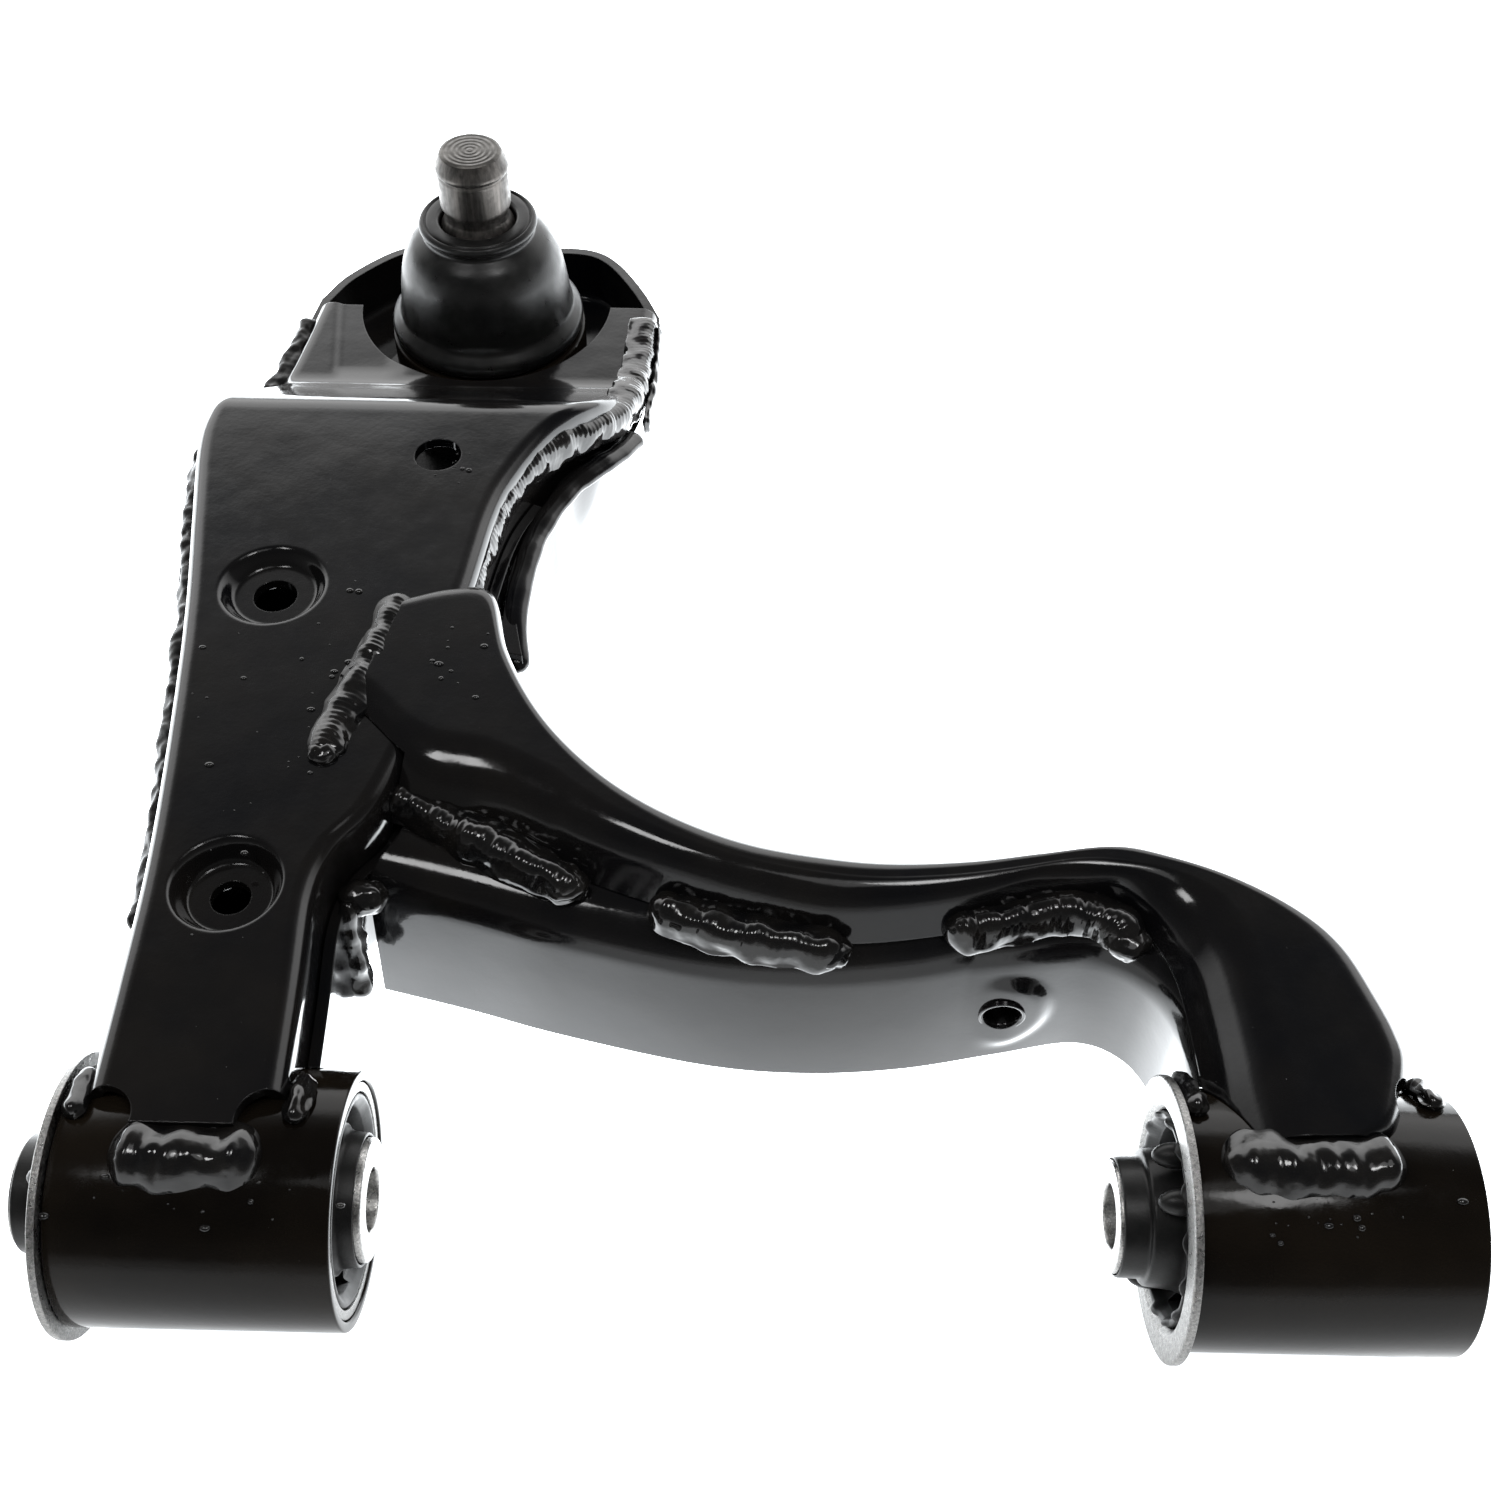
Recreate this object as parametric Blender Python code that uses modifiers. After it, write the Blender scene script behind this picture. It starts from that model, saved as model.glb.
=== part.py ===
"""Welded sheet-steel control arm: two coaxial rubber bushes and a pinch-bolt ball joint.

Lengths below are in millimetres and become metres when a mesh is made. The drawing frame has
X along the bush axis, Y from the bush axis to the ball joint and Z up along the ball stud; its
zero is on the bush axis at the left bush's flange face. An empty carries that frame, placed so
that the world origin is under the middle of the arm, on the plane it rests on.
"""

import math

import bmesh
import bpy
from mathutils import Vector

MM = 0.001
CLEARANCE = 0.3
SHEET = 3.0

# Bushes, along X from each flange face.
BUSH_PITCH = 254.0
SLEEVE_START = -12.0
SLEEVE_END = 69.0
SLEEVE_R = 13.0
SLEEVE_COLLAR_R = 14.4
BOLT_BORE_R = 7.5
HOUSING_START = 2.3
HOUSING_END = 65.4
HOUSING_R = 30.0
HOUSING_WALL = 2.5
FLANGE_R = 33.0
FLANGE_THICKNESS = 2.0
OUTER_SHELL_WALL = 2.2

# Pressed arms.
PLATE_TOP = 33.4
BEND_R = 5.0
FLAP_TOP = 10.4
LOWER_RIM = 16.0
LOWER_FLOOR = -16.0
BRACE_TOP = 36.8
BRACE_SADDLE_TOP = 33.6
BRACE_SEAM = 20.2
BRACE_BOTTOM = -24.0

# Ball joint.
BALL_X = 61.6
BALL_Y = 330.0
BALL_Z = -10.0
BALL_R = 17.0
JOINT_HOUSING_R = 33.5
CARRIER_WALL = 3.2
CARRIER_RIM = 2.0
CARRIER_LEG_RIM = 13.0
CARRIER_FLOOR_TOP = -16.4
CARRIER_FLOOR = -20.4
STUD_TOP = 69.4

# Plate features: x, y, hole radius, seat radius, depth of the pressed seat.
PLAIN_HOLE = (60.3, 224.1, 7.0)
SEATS = ((20.8, 168.3, 6.1, 11.0, 5.4), (27.9, 66.5, 5.0, 9.8, 8.0))

REST_Z = -FLANGE_R
LEFT_X = -20.2
BACK_Y = 374.2
CENTRE_X = (LEFT_X + BUSH_PITCH + SLEEVE_END) / 2
CENTRE_Y = (BACK_Y - FLANGE_R) / 2
ROUND_STEPS = 48

# Outer faces of the main arm's side walls, as (y, x).
MAIN_LEFT = ((-2, 7.6), (40, 7.0), (76, 5.8), (120, 1.8), (162, -3.2), (200, -9.3), (229, -13.7),
             (244, -13.4), (262, -9.6), (286, -2.6), (306, 0.8), (332, 4.0))
MAIN_RIGHT = ((-2, 52.6), (40, 51.0), (66, 49.8), (80, 53.0), (95, 62.0), (130, 70.5), (172, 76.5),
              (202, 80.0), (219, 84.5), (237, 93.0), (250, 103.5), (262, 110.3), (286, 116.6),
              (302, 118.8), (332, 120.6))
# Outer faces of the ball joint carrier, as (y, x). Its right leg ends in a free tongue.
CARRIER_LEFT = ((184, -13.9), (200, -16.4), (214, -18.7), (226, -20.2), (240, -18.4), (262, -14.2),
                (286, -7.2), (304, -3.6), (322, -2.0))
CARRIER_RIGHT = ((162, 89.8), (168, 88.4), (178, 86.4), (188, 85.9), (202, 87.4), (219, 92.0), (237, 99.0),
                 (250, 109.0), (262, 115.5), (286, 121.3), (304, 122.8), (322, 122.8))
CARRIER_BACK = ((121, 334), (114, 350), (104, 366), (94, 373), (78, 374), (46, 374), (26, 372),
                (9, 356), (1, 341))

# Plan of the brace, from the tongue on the main arm to the saddle on the right bush.
BRACE_FRONT = ((46, 106), (64, 95), (86, 92), (113, 79), (131, 72), (154, 65), (178, 61), (204, 64),
               (224, 70), (243, 73), (254, 67), (260, 55), (262, 40), (263, 20), (264.5, 4))
BRACE_BACK = ((297, 5), (303, 9), (308.5, 24), (308.5, 32), (306, 42), (301, 56), (293, 66), (280, 75),
              (264, 82), (250, 85.5), (231, 83), (213, 80), (193, 78.5), (176, 79.5), (156, 83),
              (138, 90), (122.5, 99.5), (109, 112), (98, 127), (89, 146), (83, 167), (72, 168), (60, 164))
BRACE_LOWER_FRONT = ((58, 72.5), (82, 66.5), (107, 59.5), (144, 51.5), (171, 49.5), (197, 51.5),
                     (222, 56.5), (243, 60.5), (255, 56), (261.5, 46), (263, 34), (263.5, 16))
BRACE_LOWER_BACK = ((306, 16), (312, 30), (310.5, 43), (305, 58), (296.5, 69.5), (282, 79), (265, 86),
                    (250, 89.5), (231, 87), (213, 84), (193, 82.5), (177, 83.5), (157, 87), (140, 93.5),
                    (125, 102), (110, 113), (98, 127), (88, 146), (81, 163), (62, 163),
                    (48, 110))
FRONT_WALL_LEAN = 8.0
FRONT_HOLE = (221.6, -7.0, 4.9)

WELD_R = 3.0


def clear_scene():
    for old in list(bpy.data.objects):
        bpy.data.objects.remove(old, do_unlink=True)


def make_collection(name, hidden):
    collection = bpy.data.collections.new(name)
    bpy.context.scene.collection.children.link(collection)
    collection.hide_render = hidden
    return collection


def make_material(name, colour, roughness, metallic):
    material = bpy.data.materials.new(name)
    material.use_nodes = True
    shader = material.node_tree.nodes["Principled BSDF"]
    shader.inputs["Base Color"].default_value = (*colour, 1.0)
    shader.inputs["Roughness"].default_value = roughness
    shader.inputs["Metallic"].default_value = metallic
    return material


clear_scene()
PARTS = make_collection("control_arm", False)
CUTTERS = make_collection("cutters", True)
BLACK_PAINT = make_material("black_paint", (0.008, 0.008, 0.009), 0.14, 0.0)
BARE_STEEL = make_material("bare_steel", (0.42, 0.41, 0.39), 0.38, 1.0)
STUD_STEEL = make_material("phosphated_stud_steel", (0.10, 0.095, 0.09), 0.42, 0.8)
RUBBER = make_material("black_rubber", (0.012, 0.012, 0.013), 0.55, 0.0)
SEAT_PLASTIC = make_material("ball_seat_plastic", (0.75, 0.73, 0.66), 0.45, 0.0)

FRAME = bpy.data.objects.new("bush_axis_frame", None)
FRAME.location = (-CENTRE_X * MM, -CENTRE_Y * MM, -REST_Z * MM)
PARTS.objects.link(FRAME)


def add_object(name, data, material=None):
    """A part when it has a material, and otherwise a cutter."""
    obj = bpy.data.objects.new(name, data)
    obj.parent = FRAME
    if material:
        data.materials.append(material)
        PARTS.objects.link(obj)
    else:
        CUTTERS.objects.link(obj)
        obj.hide_render = True
        obj.display_type = "WIRE"
    return obj


def mesh_from(name, build):
    """A mesh filled by build(bm) in millimetres, with its normals outwards."""
    bm = bmesh.new()
    build(bm)
    bmesh.ops.scale(bm, vec=(MM, MM, MM), verts=bm.verts)
    mesh = bpy.data.meshes.new(name)
    bm.to_mesh(mesh)
    bm.free()
    mesh.shade_smooth()
    mesh.set_sharp_from_angle(angle=math.radians(35))
    return mesh


def boolean(obj, other, operation="DIFFERENCE"):
    modifier = obj.modifiers.new(f"{operation.lower()}_{other.name}", "BOOLEAN")
    modifier.operation = operation
    modifier.object = other


def spline_point(before, start, end, after, t):
    """A Catmull-Rom curve between start and end."""
    return 0.5 * (2 * start + (end - before) * t + (2 * before - 5 * start + 4 * end - after) * t * t
                  + (3 * start - before - 3 * end + after) * t ** 3)


def smooth_line(points, per_span):
    """An open curve through the points, as 2D vectors."""
    line = [Vector(p) for p in points]
    padded = [2 * line[0] - line[1], *line, 2 * line[-1] - line[-2]]
    found = []
    for i in range(1, len(line)):
        for step in range(per_span):
            found.append(spline_point(*padded[i - 1:i + 3], step / per_span))
    return [*found, line[-1]]


def value_at(table, position):
    """The value at a position along a table of (position, value), eased between its entries."""
    table = sorted(table)
    position = min(max(position, table[0][0]), table[-1][0])
    for (p0, v0), (p1, v1) in zip(table, table[1:]):
        if position <= p1:
            return v0 + (v1 - v0) * (position - p0) / (p1 - p0)
    return table[-1][1]


def smooth_table(table, per_span=4):
    return [(p.x, p.y) for p in smooth_line(table, per_span)]


def inset(outline, distance):
    """The outline moved inwards by a distance; negative moves it outwards."""
    count = len(outline)
    area = sum(outline[i - 1].cross(outline[i]) for i in range(count))
    side = math.copysign(1.0, area)
    moved = []
    for i in range(count):
        into = (outline[i] - outline[i - 1]).normalized()
        out = (outline[(i + 1) % count] - outline[i]).normalized()
        normal_in = Vector((-into.y, into.x)) * side
        normal_out = Vector((-out.y, out.x)) * side
        middle = (normal_in + normal_out).normalized()
        reach = min(1.0 / max(middle.dot(normal_in), 0.35), 2.0)
        moved.append(outline[i] + middle * distance * reach)
    return moved


def block_mesh(name, top, bottom, z_top, z_bottom, edge_r=0.0, segments=3, split=False):
    """A closed prism between two outlines of as many points, its top edge rounded.

    Split makes triangles of its faces, for walls that twist.
    """
    def build(bm):
        count = len(top)
        upper = [bm.verts.new((p.x, p.y, z_top)) for p in top]
        lower = [bm.verts.new((p.x, p.y, z_bottom)) for p in bottom]
        bm.faces.new(upper)
        bm.faces.new(lower[::-1])
        for i in range(count):
            j = (i + 1) % count
            bm.faces.new((upper[i], lower[i], lower[j], upper[j]))
        bmesh.ops.recalc_face_normals(bm, faces=bm.faces)
        if split:
            bmesh.ops.triangulate(bm, faces=bm.faces)
        if edge_r:
            rim = [e for e in bm.edges if all(v in set(upper) for v in e.verts)]
            bmesh.ops.bevel(bm, geom=rim, offset=edge_r, segments=segments, profile=0.5,
                            affect="EDGES", clamp_overlap=True)
    return mesh_from(name, build)


def cylinder_cutter(name, centre, radius, length, axis="Z", sides=ROUND_STEPS):
    def build(bm):
        bmesh.ops.create_cone(bm, cap_ends=True, segments=sides, radius1=radius, radius2=radius,
                              depth=length)
    cutter = add_object(name, mesh_from(name, build))
    cutter.location = Vector(centre) * MM
    cutter.rotation_euler = {"X": (0, math.pi / 2, 0), "Y": (math.pi / 2, 0, 0), "Z": (0, 0, 0)}[axis]
    return cutter


def turned(name, profile, material, centre, axis="Z", steps=ROUND_STEPS):
    """A turned piece: (radius, height) points that run down its outer side and up its bore."""
    on_axis = profile[0][0] == 0
    mesh = bpy.data.meshes.new(name)
    points = [(r * MM, 0, z * MM) for r, z in profile]
    last = len(points) - 1
    edges = [(i, i + 1) for i in range(last)]
    if not on_axis:
        edges.append((last, 0))
    mesh.from_pydata(points, edges, [])
    obj = add_object(name, mesh, material)
    obj.location = Vector(centre) * MM
    if axis == "X":
        obj.rotation_euler = (0, math.pi / 2, 0)
    screw = obj.modifiers.new("turn", "SCREW")
    screw.steps = steps
    screw.render_steps = steps
    screw.use_merge_vertices = True
    screw.merge_threshold = 0.00001
    screw.use_smooth_shade = True
    return obj


def arc(centre_r, centre_z, radius, start, end, steps):
    """Points of a profile on an arc, with angles in degrees from +radius towards +height."""
    angles = [math.radians(start + (end - start) * i / steps) for i in range(steps + 1)]
    return [(centre_r + radius * math.cos(a), centre_z + radius * math.sin(a)) for a in angles]


def weld_bead(name, path, radius=WELD_R):
    """A bead along a path, thinner towards its ends."""
    curve = bpy.data.curves.new(name, "CURVE")
    curve.dimensions = "3D"
    curve.bevel_depth = radius * MM
    curve.bevel_resolution = 2
    curve.use_fill_caps = True
    spline = curve.splines.new("POLY")
    spline.points.add(len(path) - 1)
    last = len(path) - 1
    for i, point in enumerate(path):
        spline.points[i].co = (*[c * MM for c in point], 1)
        spline.points[i].radius = min(1.0, 0.55 + 0.3 * min(i, last - i))
    return add_object(name, curve, BLACK_PAINT)


# The main arm.

LEFT_WALL = smooth_table(MAIN_LEFT)
RIGHT_WALL = smooth_table(MAIN_RIGHT)
LOWER_GAP = CLEARANCE + SHEET + 0.1
# Where the lofts and the outlines that must nest have their sections.
SECTIONS = (1.6, 20, 40, 54, 62, 68, 74, 80, 86, 92, 100, 112, 126, 142, 160, 180, 200, 212, 224, 234, 242, 249,
            254, 259, 264, 269, 274, 279, 284, 290, 300, 309, 318, 328)


def wall_x(table, y, gap):
    """The X of a side wall moved outwards by a gap that is measured square to the wall."""
    slope = (value_at(table, y + 4) - value_at(table, y - 4)) / 8
    return value_at(table, y) + gap * math.sqrt(1 + slope * slope)


def sections(start, end):
    return [y for y in SECTIONS if start <= y <= end]


def soft_ramp(t, half=6.0):
    if t <= -half:
        return 0.0
    return t if t >= half else (t + half) ** 2 / (4 * half)


def plate_height(y):
    """The top plate is flat, falls at the shoulder and is flat again at the flaps."""
    start, end = 249.0, 284.0
    slope = (PLATE_TOP - FLAP_TOP) / (end - start)
    return PLATE_TOP - slope * (soft_ramp(y - start) - soft_ramp(y - end))


def lofted_channel(name, stations, material):
    """An open channel through stations of equal point counts, given thickness inwards."""
    def build(bm):
        rows = [[bm.verts.new(p) for p in station] for station in stations]
        for near, far in zip(rows, rows[1:]):
            for i in range(len(near) - 1):
                bm.faces.new((near[i], near[i + 1], far[i + 1], far[i]))
    obj = add_object(name, mesh_from(name, build), material)
    solid = obj.modifiers.new("sheet", "SOLIDIFY")
    solid.thickness = SHEET * MM
    solid.offset = -1.0
    solid.use_even_offset = True
    return obj


def corner(x, z, radius, start, end, steps=3):
    return [(x + radius * math.cos(math.radians(start + (end - start) * i / steps)),
             z + radius * math.sin(math.radians(start + (end - start) * i / steps)))
            for i in range(steps + 1)]


def upper_station(y):
    left, right, top = value_at(LEFT_WALL, y), value_at(RIGHT_WALL, y), plate_height(y)
    skirt = value_at(((246, 0.0), (286, 4.6)), y)
    radius = min(BEND_R, top - skirt - 1.0)
    section = [(left, skirt), *corner(left + radius, top - radius, radius, 180, 90),
               *corner(right - radius, top - radius, radius, 90, 0), (right, skirt)]
    return [(x, y, z) for x, z in section]


def lower_station(y):
    left, right = wall_x(LEFT_WALL, y, -LOWER_GAP), wall_x(RIGHT_WALL, y, LOWER_GAP)
    rim = value_at(((180, LOWER_RIM), (224, 13.0)), y)
    section = [(right, rim), *corner(right - BEND_R, LOWER_FLOOR + BEND_R, BEND_R, 0, -90),
               *corner(left + BEND_R, LOWER_FLOOR + BEND_R, BEND_R, -90, -180), (left, rim)]
    return [(x, y, z) for x, z in section]


def spaced(start, end, step):
    count = max(1, round((end - start) / step))
    return [start + (end - start) * i / count for i in range(count + 1)]


def housing_relief(x_start, x_end):
    middle = ((x_start + x_end) / 2, 0, 0)
    return cylinder_cutter(f"housing_relief_{x_start:.0f}", middle, HOUSING_R + CLEARANCE,
                           x_end - x_start, "X", 64)


def frustum(name, x, y, low_r, low_z, high_r, high_z):
    """A cone standing on the Z axis, wider at its top."""
    def build(bm):
        bmesh.ops.create_cone(bm, cap_ends=True, segments=28, radius1=low_r, radius2=high_r,
                              depth=high_z - low_z)
    cone = add_object(name, mesh_from(name, build))
    cone.location = Vector((x, y, (low_z + high_z) / 2)) * MM
    return cone


def press_seat(shell, index, x, y, hole_r, seat_r, depth):
    """Press a flat-floored seat with a sloping wall into the plate and pierce it."""
    floor = PLATE_TOP - depth
    spread = 2.4 / depth
    boolean(shell, frustum(f"seat_form_{index}", x, y, seat_r + 1.6, floor - SHEET,
                           seat_r + 1.6 + spread * (depth + 1.4), PLATE_TOP - 1.6), "UNION")
    boolean(shell, frustum(f"seat_dish_{index}", x, y, seat_r, floor, seat_r + spread * (depth + 3),
                           PLATE_TOP + 3))
    boolean(shell, cylinder_cutter(f"seat_hole_{index}", (x, y, floor), hole_r, 20, sides=28))


def main_arm():
    relief = housing_relief(-20.0, 90.0)
    upper = lofted_channel("main_arm_upper_shell", [upper_station(y) for y in SECTIONS], BLACK_PAINT)
    boolean(upper, relief)
    for x, radius in ((12.0, 7.4), (50.0, 7.6)):
        boolean(upper, cylinder_cutter(f"neck_notch_{x:.0f}", (x, 3.0, 30), radius, 60, sides=24))
    boolean(upper, cylinder_cutter("ball_joint_cutout", (BALL_X, BALL_Y, 20), 43.0, 80, sides=64))
    x, y, radius = PLAIN_HOLE
    boolean(upper, cylinder_cutter("plain_hole", (x, y, PLATE_TOP), radius, 20, sides=32))
    for index, seat in enumerate(SEATS):
        press_seat(upper, index, *seat)

    lower = lofted_channel("main_arm_lower_shell", [lower_station(y) for y in sections(20, 224)],
                           BLACK_PAINT)
    boolean(lower, relief)
    for index, (x, y, hole_r, seat_r, depth) in enumerate(SEATS):
        boolean(lower, cylinder_cutter(f"lower_bolt_hole_{index}", (x, y, LOWER_FLOOR), hole_r, 20,
                                       sides=32))


def main_outline(gap, y_start, y_end):
    """The main arm's outer walls grown by a gap, as a closed outline."""
    rows = sections(y_start, y_end)
    left = [Vector((wall_x(LEFT_WALL, y, -gap), y)) for y in rows]
    right = [Vector((wall_x(RIGHT_WALL, y, gap), y)) for y in rows]
    return left[::-1] + right


def carrier_outline():
    left = [Vector((x, y)) for y, x in smooth_table(CARRIER_LEFT, 3)]
    right = [Vector((x, y)) for y, x in smooth_table(CARRIER_RIGHT, 3)]
    back = [Vector(p) for p in smooth_line(CARRIER_BACK, 2)]
    return right + back + left[::-1]


RIM_LINE = ((236, CARRIER_LEG_RIM), (256, 9.0), (276, CARRIER_RIM))
UNDERSIDE_LINE = ((150, 9.4), (200, -8.0), (226, -15.0), (240, CARRIER_FLOOR - 1))


def side_cutter(name, profile):
    """A cutter across the whole arm from a closed (y, z) outline."""
    def build(bm):
        near = [bm.verts.new((-80, y, z)) for y, z in profile]
        far = [bm.verts.new((180, y, z)) for y, z in profile]
        bm.faces.new(near)
        bm.faces.new(far[::-1])
        for i in range(len(profile)):
            j = (i + 1) % len(profile)
            bm.faces.new((near[i], far[i], far[j], near[j]))
        bmesh.ops.recalc_face_normals(bm, faces=bm.faces)
    return add_object(name, mesh_from(name, build))


def drawn_in(outline):
    """The outline at the floor: the right wall slopes in beside the shoulder."""
    slope = ((226, 0.0), (252, 9.0), (286, 9.0), (330, 0.0))
    return [p - Vector((value_at(slope, p.y), 0)) if p.x > BALL_X else p for p in outline]


def ball_joint_carrier():
    """A dished plate round the ball joint whose two legs run back along the main arm."""
    outline = carrier_outline()
    carrier = add_object("ball_joint_carrier", block_mesh(
        "ball_joint_carrier", outline, drawn_in(outline), CARRIER_LEG_RIM, CARRIER_FLOOR, split=True),
        BLACK_PAINT)
    inner = inset(outline, CARRIER_WALL)
    reach = 30.0
    inner = [p - Vector((0, reach)) if p.y < 190 else p for p in inner]
    boolean(carrier, add_object("carrier_dish", block_mesh(
        "carrier_dish", inner, drawn_in(inner), CARRIER_LEG_RIM + 0.5, CARRIER_FLOOR_TOP, split=True)))
    boolean(carrier, side_cutter("carrier_rim_cut", (*RIM_LINE, (400, CARRIER_RIM), (400, 60), (236, 60))))
    boolean(carrier, side_cutter("carrier_leg_cut", (*UNDERSIDE_LINE, (240, -60), (150, -60))))
    beside = main_outline(LOWER_GAP + CLEARANCE, 180, 224)
    beside = [p + Vector((0, -40)) if p.y < 181 else p for p in beside]
    boolean(carrier, add_object("carrier_opening", block_mesh("carrier_opening", beside, beside, 40, -40)))
    skirt = main_outline(CLEARANCE + 0.1, 224, 328)
    boolean(carrier, add_object("skirt_relief", block_mesh("skirt_relief", skirt, skirt, 40, -0.6)))
    boolean(carrier, cylinder_cutter("joint_housing_hole", (BALL_X, BALL_Y, CARRIER_FLOOR),
                                     JOINT_HOUSING_R + CLEARANCE, 30, sides=64))


# The brace between the main arm and the right bush.


def outline_of(front, back, per_span):
    return smooth_line(front, per_span) + smooth_line(back, per_span)


def lower_brace_top(points):
    """The shoulder line: the front wall leans back as it rises."""
    front_count = 2 * (len(BRACE_LOWER_FRONT) - 1) + 1
    moved = []
    for i, p in enumerate(points):
        lean = FRONT_WALL_LEAN * min(1.0, max(0.0, (262 - p.x) / 50)) if i < front_count else 0.0
        moved.append(p + Vector((0, lean)))
    return moved


def slope_to_saddle(mesh, drop, above):
    """The brace's top comes down a little between the main arm and the saddle."""
    for vertex in mesh.vertices:
        if vertex.co.z > above * MM:
            along = min(max((vertex.co.x / MM - 100) / 150, 0.0), 1.0)
            vertex.co.z -= drop * along * MM


def brace():
    drop = BRACE_TOP - BRACE_SADDLE_TOP
    upper_relief = add_object("main_arm_relief", block_mesh(
        "main_arm_relief", *[main_outline(CLEARANCE, 20, 242)] * 2, PLATE_TOP + CLEARANCE, -60))
    lower_relief = add_object("main_arm_lower_relief", block_mesh(
        "main_arm_lower_relief", *[main_outline(LOWER_GAP + CLEARANCE, 20, 224)] * 2, 60, -60))
    carrier_relief = add_object("carrier_relief", block_mesh(
        "carrier_relief", *[inset(carrier_outline(), -CLEARANCE)] * 2, 60, -60))
    bush_relief = housing_relief(240.0, 340.0)

    outer = outline_of(BRACE_FRONT, BRACE_BACK, 2)
    inner = inset(outer, SHEET)
    outer_mesh = block_mesh("brace_upper_shell", outer, outer, BRACE_TOP, BRACE_SEAM + CLEARANCE, 6.0)
    slope_to_saddle(outer_mesh, drop, BRACE_SEAM + 5)
    upper = add_object("brace_upper_shell", outer_mesh, BLACK_PAINT)
    inner_mesh = block_mesh("brace_upper_hollow", inner, inner, BRACE_TOP - SHEET, -40, 3.0, 2)
    slope_to_saddle(inner_mesh, drop, BRACE_SEAM)
    boolean(upper, add_object("brace_upper_hollow", inner_mesh))
    boolean(upper, upper_relief)
    boolean(upper, bush_relief)
    boolean(upper, cylinder_cutter("saddle_notch", (309.5, 15.0, 30), 6.5, 60, sides=24))

    bottom = outline_of(BRACE_LOWER_FRONT, BRACE_LOWER_BACK, 2)
    top = lower_brace_top(bottom)
    lower = add_object("brace_lower_shell", block_mesh("brace_lower_shell", top, bottom, BRACE_SEAM,
                                                       BRACE_BOTTOM, 7.0), BLACK_PAINT)
    hollow = add_object("brace_lower_hollow", block_mesh(
        "brace_lower_hollow", inset(top, SHEET), inset(bottom, SHEET), BRACE_SEAM - SHEET,
        BRACE_BOTTOM - 0.01, 4.0, 2))
    for vertex in hollow.data.vertices:
        if vertex.co.z < BRACE_BOTTOM * MM:
            vertex.co.z -= 10 * MM
    boolean(lower, hollow)
    boolean(lower, lower_relief)
    boolean(lower, carrier_relief)
    boolean(lower, bush_relief)
    x, z, radius = FRONT_HOLE
    boolean(lower, cylinder_cutter("front_wall_hole", (x, 58, z), radius, 24, "Y", 32))


# The bushes.


def kidney_cutter(name, x_start, inner_r, outer_r, middle, half_angle):
    """A slot on an arc round the bush axis, right through the rubber."""
    angles = [math.radians(middle - half_angle + 2 * half_angle * i / 8) for i in range(9)]
    ring = [(outer_r, a) for a in angles] + [(inner_r, a) for a in reversed(angles)]

    def build(bm):
        near = [bm.verts.new((x_start - 20, r * math.cos(a), r * math.sin(a))) for r, a in ring]
        far = [bm.verts.new((x_start + 90, r * math.cos(a), r * math.sin(a))) for r, a in ring]
        bm.faces.new(near)
        bm.faces.new(far[::-1])
        for i in range(len(ring)):
            j = (i + 1) % len(ring)
            bm.faces.new((near[i], far[i], far[j], near[j]))
        bmesh.ops.recalc_face_normals(bm, faces=bm.faces)
    return add_object(name, mesh_from(name, build))


def stop_nub(name, x_start, angle):
    """A round stop on the rubber's flange face."""
    def build(bm):
        bmesh.ops.create_uvsphere(bm, u_segments=8, v_segments=6, radius=3.0)
        bmesh.ops.scale(bm, vec=(1.9, 1.0, 1.0), verts=bm.verts)
    nub = add_object(name, mesh_from(name, build))
    radius = 20.6
    nub.location = Vector((x_start + 0.8, radius * math.cos(angle), radius * math.sin(angle))) * MM
    return nub


def bush(side, x_start):
    place = (x_start, 0, 0)
    shell_r = HOUSING_R - HOUSING_WALL - CLEARANCE
    shell_bore = shell_r - OUTER_SHELL_WALL
    rubber_r = shell_bore - CLEARANCE
    turned(f"{side}_bush_housing",
           ((HOUSING_R, HOUSING_END), (HOUSING_R, HOUSING_START),
            (HOUSING_R - HOUSING_WALL, HOUSING_START), (HOUSING_R - HOUSING_WALL, HOUSING_END)),
           BLACK_PAINT, place, "X", 64)
    turned(f"{side}_bush_outer_shell",
           ((shell_r, HOUSING_END - 0.6), (shell_r, FLANGE_THICKNESS), (FLANGE_R, FLANGE_THICKNESS),
            (FLANGE_R, 0), (shell_bore + 1.0, 0), (shell_bore, 1.0), (shell_bore, HOUSING_END - 0.6)),
           BARE_STEEL, place, "X")
    rubber = turned(f"{side}_bush_rubber",
                    ((rubber_r, 61), (rubber_r, 2.6), (23.0, 1.4), (19.0, 3.6), (16.4, 3.2),
                     (14.6, 1.0), (14.6, -6.6), (SLEEVE_R + CLEARANCE, -6.6),
                     (SLEEVE_R + CLEARANCE, 60.6), (14.6, 60.6), (16.4, 56), (20.0, 55), (23.0, 59)),
                    RUBBER, place, "X", 32)
    for middle in (0, 180):
        boolean(rubber, kidney_cutter(f"{side}_void_{middle}", x_start, 17.6, 21.4, middle, 50))
    for index, degrees in enumerate((74, 106, 254, 286)):
        boolean(rubber, stop_nub(f"{side}_stop_nub_{index}", x_start, math.radians(degrees)), "UNION")
    turned(f"{side}_bush_inner_sleeve",
           ((SLEEVE_COLLAR_R, SLEEVE_END), (SLEEVE_COLLAR_R, 62), (SLEEVE_R, 62),
            (SLEEVE_R, SLEEVE_START), (BOLT_BORE_R, SLEEVE_START), (BOLT_BORE_R, SLEEVE_END)),
           BARE_STEEL, place, "X", 32)


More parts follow.
